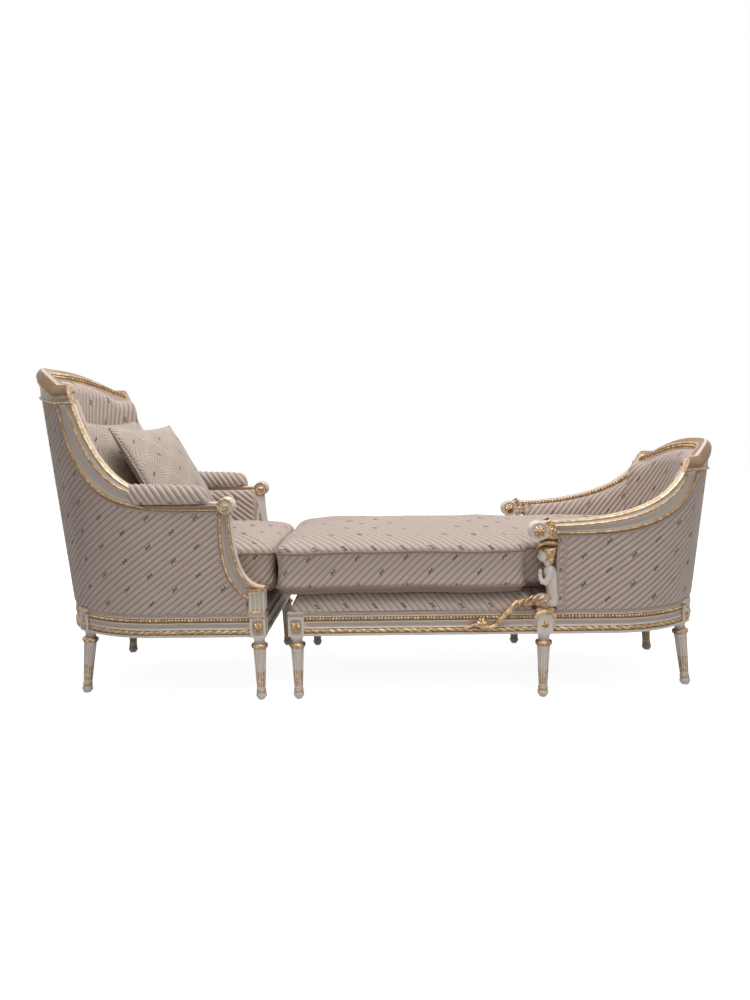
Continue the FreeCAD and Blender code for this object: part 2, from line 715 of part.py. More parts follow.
def webbing(seat):
    """Two crossed layers of straps, tacked on the rails; each is as long as the plan allows there."""
    half, thick = val.strap_width / 2, val.strap_thickness
    depth = seat.end_depth - val.strap_landing
    width = seat.half_width - val.strap_landing
    start = MARGIN + val.strap_landing
    straps = []

    def reach_u(y):
        return seat.straight + depth * math.sqrt(max(1 - (y / width) ** 2, 0))

    def reach_y(u):
        past = max(u - seat.straight, 0) / depth
        return width * math.sqrt(max(1 - past ** 2, 0))

    count = int((width - half) // val.strap_pitch)
    for number in range(-count, count + 1):
        y = number * val.strap_pitch
        stop = reach_u(abs(y) + half)
        corners = [seat.at(start, y - half, seat.rail_top), seat.at(stop, y - half, seat.rail_top),
                   seat.at(stop, y + half, seat.rail_top), seat.at(start, y + half, seat.rail_top)]
        straps.append(prism(Part.makePolygon(corners + corners[:1]), V(0, 0, thick)))
    u = start + val.block_side + half
    while reach_y(u + half) > width / 2:
        y = reach_y(u + half)
        level = seat.rail_top + thick
        corners = [seat.at(u - half, -y, level), seat.at(u + half, -y, level),
                   seat.at(u + half, y, level), seat.at(u - half, y, level)]
        straps.append(prism(Part.makePolygon(corners + corners[:1]), V(0, 0, thick)))
        u += val.strap_pitch
    return straps


def strap_space(seat):
    """The flat space the straps take up, kept clear under decks and arm upholstery."""
    top = seat.rail_top + 2 * val.strap_thickness
    return seat.slab(seat.rail_top - MARGIN, top, val.strap_landing, val.strap_landing + MARGIN, False)


def rounded_plan(seat, z, front, sides, narrow, depth, corner, shoulder):
    """Cushion outline: rounded front corners, straight sides that step in to a narrower part, rounded end.

    front is the front edge's u, sides and narrow are half widths, depth is the end's, shoulder is the u of the step.
    """
    step = 2 * corner * 0.4
    right = [seat.at(front, -(sides - corner), z), seat.at(front + corner, -sides, z)]
    left = [seat.at(front + corner, sides, z), seat.at(front, sides - corner, z)]
    bend = corner * (1 - math.sqrt(0.5))
    arc_right = Part.Arc(right[0], seat.at(front + bend, -(sides - bend), z), right[1]).toShape()
    arc_left = Part.Arc(left[0], seat.at(front + bend, sides - bend, z), left[1]).toShape()
    near = [seat.at(shoulder, -sides, z), seat.at(shoulder + step, -narrow, z), seat.at(seat.straight, -narrow, z)]
    away = [seat.at(seat.straight, narrow, z), seat.at(shoulder + step, narrow, z), seat.at(shoulder, sides, z)]
    edges = [arc_right, Part.makeLine(right[1], near[0]), Part.makeLine(near[0], near[1]),
             Part.makeLine(near[1], near[2])]
    end = seat.half_ellipse(z, depth, narrow)
    edges += [end, Part.makeLine(away[0], away[1]), Part.makeLine(away[1], away[2]),
              Part.makeLine(away[2], left[0]), arc_left, Part.makeLine(left[1], right[0])]
    return Part.Wire(edges)


# a deck's sloping edge: (share of its height, share of its slope)
DECK_EDGE = ((0, 0), (0.35, 0.2), (0.8, 0.55), (1, 1))


def deck(seat, name):
    """Stuffed deck: it fills the plan inside the walls, and its free edges slope up from the rails."""
    depth, narrow = seat.radii(seat.rail_top, val.back_wall + val.rest_gap, val.side_wall + val.rest_gap)
    wires = []
    for lift, inward in DECK_EDGE:
        z = seat.rail_top + val.deck_height * lift
        start = MARGIN + val.deck_shoulder * inward
        if seat is chair:
            wires.append(flat_end_plan(seat, z, start, narrow, depth))
        else:
            wide = seat.half_width - val.deck_shoulder * inward
            wires.append(rounded_plan(seat, z, start, wide, min(narrow, wide), depth, val.deck_shoulder / 2,
                                      val.foot_mid_leg - val.block_side))
    keep_shape(name + "_deck", one(ruled(wires).cut(strap_space(seat))))


def flat_end_plan(seat, z, start, width, depth):
    """Plan outline with its own widths: square in front, half ellipse behind."""
    corners = [seat.at(start, -width, z), seat.at(start, width, z), seat.at(seat.straight, width, z),
               seat.at(seat.straight, -width, z)]
    return Part.Wire([Part.makeLine(corners[0], corners[1]), Part.makeLine(corners[1], corners[2]),
                      seat.half_ellipse(z, depth, width), Part.makeLine(corners[3], corners[0])])


for seat in (chair, foot):
    name = NAMES[seat.name]
    keep_shape(name + "_webbing", Part.Compound(webbing(seat)))
    deck(seat, name)
    cloth = seat.slab(seat.rail_low - val.dust_cover_thickness, seat.rail_low, val.rail_thickness / 4,
                      MARGIN + val.rail_thickness / 4, False)
    holes = [Part.makeCylinder(val.leg_top_radius + MARGIN, val.leg_height, V(centre.x, centre.y, MARGIN))
             for _, centre, _ in leg_spots[seat.name]]
    keep_shape(name + "_dust_cover", one(cloth.cut(holes)))


# Upholstered walls, arm rails, crest rails, hidden posts

def wall_limits(seat):
    """Cutters for the wall: what lies behind its front edge and below the arm rail's underside, and the crest's."""
    low = seat.rail_top - MARGIN
    if seat is chair:
        under = chair_low_curve()
        die = val.block_side + val.rest_gap
        start = (val.console_top_back, scroll_height(chair) - val.chair_scroll_radius)
        front = [(die, low), (die, console_foot())]
        edges = [front, console_edge(), [start, under[0]], under]
    else:
        under = foot_low_curve()
        start = (val.foot_wall_start, val.foot_arm_height)
        edges = [[(val.foot_wall_start, low), start], [start, under[0]], under]
    end = under[-1]
    edges += [[end, (end[0], FAR)], [(end[0], FAR), (FAR, FAR)], [(FAR, FAR), (FAR, low)],
              [(FAR, low), edges[0][0]]]
    return seat.side_cut(edges), seat.end_cut(below(crest_under(seat)))


def console_foot():
    """Height where the arm support's rear edge leaves the die."""
    return val.leg_height + val.rail_height + val.chair_die_height - val.console_foot_rise


def console_edge():
    """Rear edge of the arm support, upwards: forward at the foot, then nearly upright."""
    die = val.block_side + val.rest_gap
    top = (val.console_top_back, scroll_height(chair) - val.chair_scroll_radius)
    foot_point = (die, console_foot())
    rise = top[1] - foot_point[1]
    return [foot_point, (top[0] + 2, foot_point[1] + 0.19 * rise), (top[0] + 6, foot_point[1] + 0.55 * rise), top]


def console_front_edge():
    """Front edge of the arm support, downwards to the cap of the die."""
    top = (val.console_top_front, scroll_height(chair) - val.chair_scroll_radius)
    cap = val.leg_height + val.rail_height + val.chair_die_height + val.chair_cap_height
    rise = top[1] - cap
    return [top, (top[0] - 6, cap + 0.42 * rise), (top[0] - 22, cap + 0.04 * rise), (0, cap + 6)]


def arm_bands(seat):
    """Arm rails with their sweep up to the crest, as one band of the leaning wall each, and the scroll's place."""
    low, high = seat.rail_top, getattr(val, seat.name + "_shoulder") + MARGIN
    thick = val.arm_rail_thickness - val.arm_rail_proud
    wall = seat.wall(low, high, -val.arm_rail_proud, thick)
    if seat is chair:
        under, over = chair_low_curve(), chair_top_curve()
        rail_top = val.chair_arm_height + val.chair_arm_rail_height
        front = (val.chair_scroll_u, val.chair_arm_height)
        joint = under[-1][1]
        stop = point_on(over, joint)
        edges = [[front, under[0]], under, [under[-1], stop[-1]], stop[::-1],
                 [stop[0], (val.chair_pad_end - val.chair_arm_rail_height, rail_top)],
                 [(val.chair_pad_end - val.chair_arm_rail_height, rail_top), (front[0], rail_top)],
                 [(front[0], rail_top), front]]
        scroll = (val.chair_scroll_u, scroll_height(chair), val.chair_scroll_radius)
    else:
        under, over = foot_low_curve(), foot_top_curve()
        joint = under[-1][1]
        stop = point_on(over, joint)
        front = (val.foot_scroll_u, val.foot_arm_height)
        edges = [[front, under[0]], under, [under[-1], stop[-1]], stop[::-1], [stop[0], front]]
        scroll = (val.foot_scroll_u, scroll_height(foot), val.foot_scroll_radius)
    band = wall.common(seat.side_cut(edges))
    return band.Solids, scroll


def point_on(curve_points, level):
    """The part of a Bezier curve below a height, split there."""
    def split(points, share):
        rows = [points]
        while len(rows[-1]) > 1:
            last = rows[-1]
            rows.append([(a[0] + (b[0] - a[0]) * share, a[1] + (b[1] - a[1]) * share)
                         for a, b in zip(last, last[1:])])
        return [row[0] for row in rows], rows[-1][0][1]

    low, high = 0.0, 1.0
    for _ in range(50):
        middle = (low + high) / 2
        if split(curve_points, middle)[1] < level:
            low = middle
        else:
            high = middle
    return split(curve_points, low)[0]


def crest(seat):
    """Bent and arched top rail, down to where the arms' sweeps meet it."""
    high = getattr(val, seat.name + "_shoulder") + getattr(val, seat.name + "_crest_rise") + MARGIN
    low = getattr(val, seat.name + "_stile_low")
    inner = val.arm_rail_thickness - val.arm_rail_proud
    wall = seat.wall(low - MARGIN, high, -val.crest_proud, inner)
    over = chair_top_curve() if seat is chair else foot_top_curve()
    lower = point_on(over, low)[-1]
    top = over[-1]
    edges = [[lower, top], [top, (top[0], FAR)], [(top[0], FAR), (FAR, FAR)], [(FAR, FAR), (FAR, low)],
             [(FAR, low), lower]]
    solid = wall.common(seat.side_cut(edges))
    solid = solid.common(seat.end_cut(below(crest_line(seat))))
    solid = solid.common(seat.end_cut(above(crest_under(seat))))
    return one(solid)


def posts(seat):
    """Hidden uprights from the back rail to the crest, inside the back upholstery."""
    level = getattr(val, seat.name + "_stile_low")
    shell = seat.wall(seat.rail_top, level, val.cover_thickness + MARGIN / 2,
                      val.cover_thickness + MARGIN / 2 + val.post_thickness)
    found = []
    for _, side in SIDES:
        low_y = side * val.post_offset - val.post_width / 2
        cutter = Part.makeBox(FAR, val.post_width, FAR, V(0, low_y, 0))
        if seat.facing < 0:
            cutter = Part.makeBox(FAR, val.post_width, FAR, V(-FAR, low_y, 0))
        behind = Part.makeBox(FAR, FAR, FAR, V(seat.at(seat.straight, 0, 0).x if seat.facing > 0
                                             else seat.at(seat.straight, 0, 0).x - FAR, -FAR / 2, 0))
        found.append(one(shell.common(cutter).common(behind)))
    return found


def pad_limits(seat):
    """Cutters for the inside upholstery: lower than the arm rail's top and the crest by their reveals."""
    low = seat.rail_top - MARGIN
    if seat is chair:
        over = shifted(chair_top_curve(), val.pad_reveal, 0)
        die = val.block_side + val.rest_gap
        start = (val.console_top_back, scroll_height(chair) - val.chair_scroll_radius)
        level = val.chair_arm_height + val.chair_arm_rail_height - val.pad_reveal
        edges = [[(die, low), (die, console_foot())], console_edge(), [start, (start[0] + MARGIN, level)],
                 [(start[0] + MARGIN, level), (over[0][0] - val.chair_arm_rail_height, level)],
                 [(over[0][0] - val.chair_arm_rail_height, level), over[0]], over]
    else:
        over = foot_pad_start(shifted(foot_top_curve(), val.pad_reveal, -val.pad_reveal))
        start = (val.foot_wall_start, val.foot_arm_height)
        edges = [[(val.foot_wall_start, low), start], [start, over[0]], over]
    end = edges[-1][-1]
    edges += [[end, (end[0], FAR)], [(end[0], FAR), (FAR, FAR)], [(FAR, FAR), (FAR, low)],
              [(FAR, low), edges[0][0]]]
    return seat.side_cut(edges), seat.end_cut(below(crest_line(seat, val.crest_reveal)))


def foot_pad_start(over):
    """The top curve from the cloth's front edge onwards."""
    low, high = 0.0, 1.0
    for _ in range(50):
        middle = (low + high) / 2
        if bezier_point(over, middle)[0] < val.foot_wall_start + MARGIN:
            low = middle
        else:
            high = middle
    return bezier_rest(over, low)


def bezier_point(points, share):
    while len(points) > 1:
        points = [(a[0] + (b[0] - a[0]) * share, a[1] + (b[1] - a[1]) * share) for a, b in zip(points, points[1:])]
    return points[0]


def bezier_rest(points, share):
    """The part of a Bezier curve after a share of it."""
    rows = [points]
    while len(rows[-1]) > 1:
        last = rows[-1]
        rows.append([(a[0] + (b[0] - a[0]) * share, a[1] + (b[1] - a[1]) * share) for a, b in zip(last, last[1:])])
    return [row[-1] for row in rows][::-1]


def upholster(seat):
    """Frame above the seat rails and the cloth on it, in the order it is made."""
    name = NAMES[seat.name]
    start = MARGIN if seat is foot else 0
    high = getattr(val, seat.name + "_shoulder") + getattr(val, seat.name + "_crest_rise")
    bands, scroll = arm_bands(seat)
    crest_rail = crest(seat)
    scroll_u, scroll_z, scroll_r = scroll
    rails = []
    for band in bands:
        side = 1 if band.CenterOfMass.y > 0 else -1
        width = seat.radii(scroll_z, 0, 0)[1]
        inner = width + val.arm_rail_proud - val.arm_rail_thickness
        begin = seat.at(scroll_u, side * inner, scroll_z)
        roll = Part.makeCylinder(scroll_r, val.arm_rail_thickness + MARGIN, begin, V(0, side, 0))
        rails.append((side, joined([band, roll])))
    for side, rail in rails:
        keep_shape(f"{name}_arm_rail_{'far' if side > 0 else 'near'}", rail)
    keep_shape(name + "_crest_rail", crest_rail)
    post_solids = [one(post.cut([rail for _, rail in rails])) for post in posts(seat)]
    keep_shape(name + "_back_posts", Part.Compound(post_solids))

    behind, under_crest = wall_limits(seat)
    cover = seat.wall(seat.rail_top, high, 0, val.cover_thickness, start).common(behind).common(under_crest)
    solids = [rail for _, rail in rails] + [crest_rail]
    keep_shape(name + "_outside_cover", one(cover.cut(solids)))

    inside, under_reveal = pad_limits(seat)
    pad = seat.wall(seat.rail_top, high, val.cover_thickness, (val.back_wall, val.side_wall), start)
    pad = pad.common(inside).common(under_reveal)
    pad = pad.cut(solids + post_solids + [strap_space(seat)])
    keep_shape(name + "_inside_upholstery", largest(pad))

    thick, wide = val.braid_thickness, val.braid_width
    foot_band = seat.wall(seat.rail_top - wide, seat.rail_top, 0, val.rail_rebate, start + MARGIN, False)
    foot_band = foot_band.cut([block_solid(centre, normal) for _, centre, normal in leg_spots[seat.name]])
    under = chair_low_curve() if seat is chair else foot_low_curve()
    lower = shifted(under, wide * 0.35, -wide)
    strip = [under, [under[-1], lower[-1]], lower[::-1], [lower[0], under[0]]]
    arm_strips = seat.wall(seat.rail_top, high, -thick, 0, start).common(seat.side_cut(strip))
    keep_shape(name + "_braid", Part.Compound(foot_band.Solids + arm_strips.Solids))


for seat in (chair, foot):
    upholster(seat)


# Armchair's fluted dies and arm supports

def arm_support():
    """Die on the front leg block, its cap, and the S-shaped support above, carved from one piece."""
    side = -1
    low = val.leg_height + val.rail_height
    die_side, die_top = val.block_side, low + val.chair_die_height
    middle = chair.half_width + BLOCK_PROUD - die_side / 2
    die = Part.makeBox(die_side, die_side, val.chair_die_height,
                       V(chair.at(die_side, 0, 0).x, side * middle - die_side / 2, low))
    cap_side = val.chair_cap_side
    cap = Part.makeBox(cap_side, cap_side, val.chair_cap_height,
                       V(chair.at(die_side / 2, 0, 0).x - cap_side / 2, side * middle - cap_side / 2, die_top))
    front = console_front_edge()
    rear = console_edge()
    outer = chair.radii(low, 0, 0)[1] + val.arm_rail_proud
    near, far = sorted((side * outer, side * (outer - val.console_width)))
    base = (0, die_top)
    edges = [rear, [rear[-1], front[0]], front, [front[-1], base], [base, (rear[0][0] - MARGIN, die_top)],
             [(rear[0][0] - MARGIN, die_top), rear[0]]]
    bracket = chair.side_cut(edges, near, far)
    solid = joined([die, cap, bracket])
    return one(solid.cut([pieces["armchair_arm_rail_near"].Shape, pieces["armchair_inside_upholstery"].Shape]))


near_support = arm_support()
keep_shape("armchair_arm_support_near", near_support)
keep_shape("armchair_arm_support_far", mirrored(near_support))
for node in ("armchair_outside_cover", "armchair_deck", "armchair_inside_upholstery"):
    supports = [pieces["armchair_arm_support_" + side_name].Shape for side_name, _ in SIDES]
    pieces[node].Shape = largest(pieces[node].Shape.cut(supports))


# Padded arm rests on the armchair

def arm_pad():
    """Half-round pad along the near arm rail, swelling from its front end and tapering into the sweep."""
    side = -1
    rail_top = val.chair_arm_height + val.chair_arm_rail_height
    length = val.chair_pad_end - val.arm_pad_front
    sections = [(0.0, 0.35, 0.7), (0.06, 0.75, 0.92), (0.25, 1.0, 1.0), (0.6, 1.0, 1.0), (0.85, 0.9, 0.95),
                (1.0, 0.55, 0.7)]
    wires = []
    for along, tall, wide in sections:
        u = val.arm_pad_front + length * along
        inward = max(u - chair.straight, 0) / chair.end_depth
        width = chair.radii(rail_top, 0, 0)[1] * math.sqrt(1 - inward ** 2)
        middle = width + val.arm_rail_proud - val.arm_rail_thickness / 2
        half = val.arm_pad_width / 2 * wide
        top = rail_top + val.rest_gap + val.arm_pad_rise * tall
        base = rail_top + val.rest_gap
        left = chair.at(u, side * middle - half, base)
        right = chair.at(u, side * middle + half, base)
        arch = Part.BezierCurve()
        arch.setPoles([right, V(right.x, right.y, top + (top - base) / 3), V(left.x, left.y, top + (top - base) / 3),
                       left])
        wires.append(Part.Wire([Part.makeLine(left, right), arch.toShape()]))
    solid = positive(Part.makeLoft(wires, True, True))
    solid = solid.cut([pieces["armchair_arm_rail_near"].Shape, pieces["armchair_inside_upholstery"].Shape])
    return largest(solid)


near_pad = arm_pad()
keep_shape("armchair_arm_pad_near", near_pad)
keep_shape("armchair_arm_pad_far", mirrored(near_pad))


# Rosettes on the leg blocks, and the caps on the foot seat's middle blocks

def rosettes(seat, skip=()):
    domes = []
    for node, centre, normal in leg_spots[seat.name]:
        if any(word in node for word in skip):
            continue
        middle_z = val.leg_height + val.rail_height / 2
        face = V(centre.x, centre.y, middle_z) + normal * (val.block_side / 2)
        dome = Part.makeCone(val.rosette_radius, val.rosette_radius * 0.55, val.rosette_height, face, normal)
        domes.append(dome)
    return domes


keep_shape("armchair_rosettes", Part.Compound(rosettes(chair)))
keep_shape("foot_seat_rosettes", Part.Compound(rosettes(foot)))


# Seated figures, their caps above and below, and the gilded tails

def capsule(start, stop, first, second):
    """Round-ended limb that tapers from one radius to another."""
    run = stop - start
    limb = Part.makeCone(first, second, run.Length, start, run) if abs(first - second) > 0.01 \
        else Part.makeCylinder(first, run.Length, start, run)
    return [limb, Part.makeSphere(first, start), Part.makeSphere(second, stop)]


def ellipsoid(centre, along, across, tall):
    ball = Part.makeSphere(1.0)
    matrix = FreeCAD.Matrix()
    matrix.scale(along, across, tall)
    ball = ball.transformGeometry(matrix)
    ball.translate(centre)
    return ball


def figure():
    """The near figure, which kneels on the middle block and carries the arm's scroll, and its two gilded caps."""
    side = -1
    u = val.foot_mid_leg
    deep = val.figure_depth / 2
    face_y = foot.half_width + MARGIN
    middle_y = side * (face_y - deep)
    plinth_top = foot.rail_top + MARGIN
    crown_top = scroll_height(foot) - val.foot_scroll_radius + MARGIN / 2
    cap_low = crown_top - val.capital_height

    def spot(across, height, out=0.0):
        return foot.at(u + across, middle_y + side * out, height)

    tall = cap_low - plinth_top
    head = ellipsoid(spot(-10, plinth_top + 0.86 * tall), val.head_radius * 0.92, deep * 0.95, 0.16 * tall)
    hips, waist, chest = (spot(18, plinth_top + 0.12 * tall), spot(14, plinth_top + 0.34 * tall),
                          spot(10, plinth_top + 0.56 * tall))
    neck = spot(-2, plinth_top + 0.76 * tall)
    limbs = capsule(hips, waist, deep * 0.98, deep * 0.7) + capsule(waist, chest, deep * 0.7, deep * 0.9)
    limbs += capsule(chest, neck, deep * 0.6, deep * 0.42)
    limbs += capsule(hips, spot(-34, plinth_top + 0.13 * tall), deep * 0.8, deep * 0.62)
    elbow = spot(-24, plinth_top + 0.40 * tall, deep * 0.4)
    limbs += capsule(spot(4, plinth_top + 0.6 * tall, deep * 0.55), elbow, deep * 0.45, deep * 0.38)
    limbs += capsule(elbow, spot(-22, plinth_top + 0.58 * tall, 0), deep * 0.36, deep * 0.3)
    box = Part.makeBox(FAR, FAR, cap_low - plinth_top, V(-FAR / 2, -FAR / 2, plinth_top))
    solid = joined([head] + limbs).common(box)
    cover = [pieces["foot_seat_outside_cover"].Shape, pieces["foot_seat_inside_upholstery"].Shape,
             pieces["foot_seat_deck"].Shape]
    solid = largest(solid.cut(cover))

    wide = val.capital_width
    low = foot.at(u - wide / 2, middle_y - deep, cap_low)
    capital = Part.makeBox(wide, 2 * deep, val.capital_height, low)
    capital = largest(capital.cut([pieces["foot_seat_arm_rail_near"].Shape] + cover))
    plinth_depth = MARGIN + val.strap_landing
    plinth = Part.makeBox(val.plinth_width, plinth_depth, MARGIN,
                          foot.at(u - val.plinth_width / 2, side * (face_y + MARGIN / 2), foot.rail_top))
    plinth = largest(plinth.cut(cover + [solid]))
    return solid, capital, plinth


def tail(body):
    """Gilded tail from the near figure's lap down over the rail: rings along a route, drawn thinner to the end."""
    side = -1
    u = val.foot_mid_leg
    face_y = foot.half_width + val.rail_step / 2
    radius = val.tail_radius
    route = [(-49, 24, 1.0, -6), (-89, 22, 0.95, -4), (-113, 1, 0.85, 0), (-134, -21, 0.75, 0),
             (-156, -47, 0.65, 0), (-187, -54, 0.6, 0), (-215, -46, 0.55, 0), (-243, -55, 0.4, 0)]
    spots = [(foot.at(u + across, side * (face_y + radius * share + inward), foot.rail_top + up), radius * share)
             for across, up, share, inward in route]
    rings = []
    for number, (middle, reach) in enumerate(spots):
        before = spots[max(number - 1, 0)][0]
        after = spots[min(number + 1, len(spots) - 1)][0]
        rings.append(Part.Wire(Part.makeCircle(reach, middle, after - before)))
    solid = ruled(rings)
    rails = [pieces["foot_seat_side_rail_near"].Shape, pieces["foot_seat_deck"].Shape, body,
             pieces["foot_seat_braid"].Shape, pieces["foot_seat_middle_leg_near"].Shape]
    return largest(solid.cut(rails))


doc.recompute()
near_figure, near_capital, near_plinth = figure()
keep_shape("foot_seat_figure_near", near_figure)
keep_shape("foot_seat_figure_far", mirrored(near_figure))
near_tail = tail(near_figure)
keep_shape("foot_seat_tails", Part.Compound([near_tail, mirrored(near_tail)]))
caps = [near_capital, near_plinth, mirrored(near_capital), mirrored(near_plinth)]
keep_shape("foot_seat_gilded_caps", Part.Compound(caps))


# Loose cushions

def cushion(node, seat, front, sides, shoulder, welt, crown, corner):
    """Boxed cushion: crowned above and below, sides drawn in between two welts."""
    low = seat.rail_top + val.deck_height + val.rest_gap
    bottom_welt = low + val.welt_height
    middle = (bottom_welt + welt) / 2
    depth, width = seat.radii(bottom_welt, val.back_wall, val.side_wall)
    depth -= val.cushion_gap
    narrow = width - val.cushion_gap
    levels = [(low, 70), (low + val.welt_height * 0.45, 26), (bottom_welt, 0), (middle, val.cushion_pinch),
              (welt, 0), (welt + crown * 0.3, 14), (welt + crown * 0.68, 48), (welt + crown * 0.92, 96),
              (welt + crown, 150)]
    wires = []
    for z, inset in levels:
        step = max(shoulder, inset - front + corner + MARGIN)
        wires.append(rounded_plan(seat, z, inset - front, sides - inset, narrow - inset, depth - inset, corner,
                                  step))
    keep_shape(node, ruled(wires))


cushion("armchair_seat_cushion", chair, val.chair_cushion_front, val.chair_cushion_side,
        val.console_top_back - val.block_side / 2, val.chair_cushion_welt, val.chair_cushion_crown, 34)
cushion("foot_seat_cushion", foot, val.foot_cushion_front, val.foot_cushion_side,
        val.foot_cushion_shoulder, val.foot_cushion_welt, val.foot_cushion_crown, 40)


# Loose pillows

LETTING_DOWN = 4      # steps in which a pillow nears the cushion under it


def pillow(node, wide, bulge, lean, foot_u, shift):
    """Square pillow, its sides and top drawn in; it leans back and is let down onto the cushion."""
    tall = val.pillow_rise
    draw_in = 0.05

    def outline(off, scale):
        half, high = wide / 2 * scale, tall / 2 * scale
        pull = draw_in * scale
        left, right = V(off, -half, -high), V(off, half, -high)
        right_top, left_top = V(off, half, high), V(off, -half, high)
        return Part.Wire([Part.makeLine(left, right),
                          Part.Arc(right, V(off, half - wide * pull, 0), right_top).toShape(),
                          Part.Arc(right_top, V(off, 0, high - tall * pull), left_top).toShape(),
                          Part.Arc(left_top, V(off, -half + wide * pull, 0), left).toShape()])

    swell = [(-1.0, 0.3), (-0.86, 0.58), (-0.5, 0.85), (0.0, 1.0), (0.5, 0.85), (0.86, 0.58), (1.0, 0.3)]
    solid = ruled([outline(bulge * share, scale) for share, scale in swell])
    solid.translate(V(0, 0, tall / 2))
    # leaning back turns the top towards the chair's back, which is towards -X
    solid.rotate(V(), V(0, 1, 0), -lean)
    solid.rotate(V(), UP, -val.pillow_turn)
    seat_top = val.chair_cushion_welt + val.chair_cushion_crown + MARGIN
    solid.translate(V(0, shift, seat_top - solid.BoundBox.ZMin) + chair.at(foot_u, 0, 0))
    bed = pieces["armchair_seat_cushion"].Shape
    for _ in range(LETTING_DOWN):
        solid.translate(V(0, 0, val.rest_gap - solid.distToShape(bed)[0]))
    keep_shape(node, solid)


pillow("front_pillow", val.pillow_side, val.pillow_bulge, val.pillow_lean, val.pillow_front_x, 0)
pillow("rear_pillow", val.rear_pillow_side, val.rear_pillow_bulge, val.rear_pillow_lean, val.rear_pillow_x,
       val.rear_pillow_shift)

doc.recompute()

# Move the pair along X so that the origin lies under the middle of its box, which the two crests bound
ends = [pieces[name + "_crest_rail"].Shape.optimalBoundingBox(False, False) for name in NAMES.values()]
shift = FreeCAD.Placement(V(-(ends[0].XMin + ends[1].XMax) / 2, 0, 0), FreeCAD.Rotation())
for thing in pieces.values():
    thing.Placement = shift.multiply(thing.Placement)

# Check every object, then write the files
for thing in doc.Objects:
    if "Invalid" in thing.State or "Error" in thing.State:
        raise RuntimeError(f"{thing.Label} failed: {thing.State}")
os.makedirs("parts", exist_ok=True)
for node, thing in pieces.items():
    if thing.Shape.isNull() or not thing.Shape.isValid() or thing.Shape.Volume <= 0:
        raise RuntimeError(f"{node} has no valid solid")
    thing.Shape.exportStep(f"parts/{node}.step")
print(len(pieces), "nodes, moved by", round(shift.Base.x, 3))
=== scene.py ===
"""Looks of a two-piece day bed in the old French manner: a bergere armchair and a long foot seat.

Ivory paint and gold leaf on carved beech, cloth woven in padded diagonal ribs, loose cushions, two pillows.
Shapes are worked out in millimetres in the CAD part's own frame and written to the meshes in metres.
"""
import math

import bmesh
import bpy
import numpy as np
from mathutils import Matrix, Vector


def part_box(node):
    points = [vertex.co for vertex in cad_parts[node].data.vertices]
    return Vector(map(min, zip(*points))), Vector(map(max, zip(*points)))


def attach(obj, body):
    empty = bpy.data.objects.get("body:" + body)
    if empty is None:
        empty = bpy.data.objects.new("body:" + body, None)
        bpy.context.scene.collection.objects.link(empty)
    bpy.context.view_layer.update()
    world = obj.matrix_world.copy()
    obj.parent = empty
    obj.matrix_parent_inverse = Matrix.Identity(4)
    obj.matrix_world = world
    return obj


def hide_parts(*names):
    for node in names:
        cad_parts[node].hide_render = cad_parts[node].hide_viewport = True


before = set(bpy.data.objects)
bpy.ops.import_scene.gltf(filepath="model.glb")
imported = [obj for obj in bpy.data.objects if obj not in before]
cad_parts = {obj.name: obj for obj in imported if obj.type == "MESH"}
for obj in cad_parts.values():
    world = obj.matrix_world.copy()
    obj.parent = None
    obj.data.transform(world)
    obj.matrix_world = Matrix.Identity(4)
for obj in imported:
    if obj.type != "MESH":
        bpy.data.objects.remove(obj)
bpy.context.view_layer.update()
MM = 0.001
WELD = 0.02
SHARP_EDGE = math.radians(40)

# Sizes in millimetres, as in the part's own source
LEG_HEIGHT = 211
RAIL_TOP = 289
BLOCK = 50
BLOCK_PROUD = 9
RAIL_DEPTH = 50
ARM_THICK = 42
ARM_PROUD = 6
PAD_REVEAL = 12
CREST_REVEAL = 38
BACK_WALL = 75
SIDE_WALL = 52
SIDE_LEAN = 1.335
REAR_RAKE = 7.5
DECK_RISE = 54
DECK_SLOPE = 46
PANEL_DEPTH = 3.2
FLOWER_HEIGHT = 243
FLOWER_RADIUS = 17
MIDDLE_LEG = 813
# middle of the thickness of the carved figures, in from the cloth's face
FIGURE_INSET = 14

# The cloth: ribs rise to the right at these angles, this far apart, with sprigs on a staggered lattice
RIB_ANGLE = math.radians(37)
CUSHION_ANGLE = math.radians(44)
INNER_BACK_ANGLE = math.radians(75)
FOOT_INNER_ANGLE = math.radians(50)
RIB_PITCH = 17.6
RIB_HEIGHT = 4.4
SPRIG_ACROSS = 154
SPRIG_UP = 92
THREAD_PITCH = 3.6


# Arithmetic on grids of points

def smooth(share):
    """Share that eases in and out between 0 and 1."""
    share = np.clip(share, 0, 1)
    return share * share * (3 - 2 * share)


def unit(vectors):
    """The vectors, divided by their lengths."""
    return vectors / np.maximum(np.linalg.norm(vectors, axis=-1, keepdims=True), 1e-9)


def grid_normals(points):
    """Unit normals of a grid: the cross product of its steps along columns and rows."""
    return unit(np.cross(np.gradient(points, axis=1), np.gradient(points, axis=0)))


def bezier(handles, count):
    """Points of a cubic Bezier curve from its four handles, evenly spaced in its parameter."""
    t = np.linspace(0, 1, count)[:, None]
    a, b, c, d = (np.array(handle, float) for handle in handles)
    return a * (1 - t) ** 3 + 3 * b * t * (1 - t) ** 2 + 3 * c * t * t * (1 - t) + d * t ** 3


def lengths(path):
    """Length along a path at each of its points."""
    steps = np.linalg.norm(np.diff(path, axis=0), axis=1)
    return np.concatenate([[0], np.cumsum(steps)])


def respaced(path, gap, *others):
    """The same path, and values that go with it, at points about gap apart."""
    far = lengths(path)
    spots = np.linspace(0, far[-1], max(int(round(far[-1] / gap)), 1) + 1)
    return [np.stack([np.interp(spots, far, column) for column in np.asarray(values, float).T], -1)
            for values in (path, *others)]


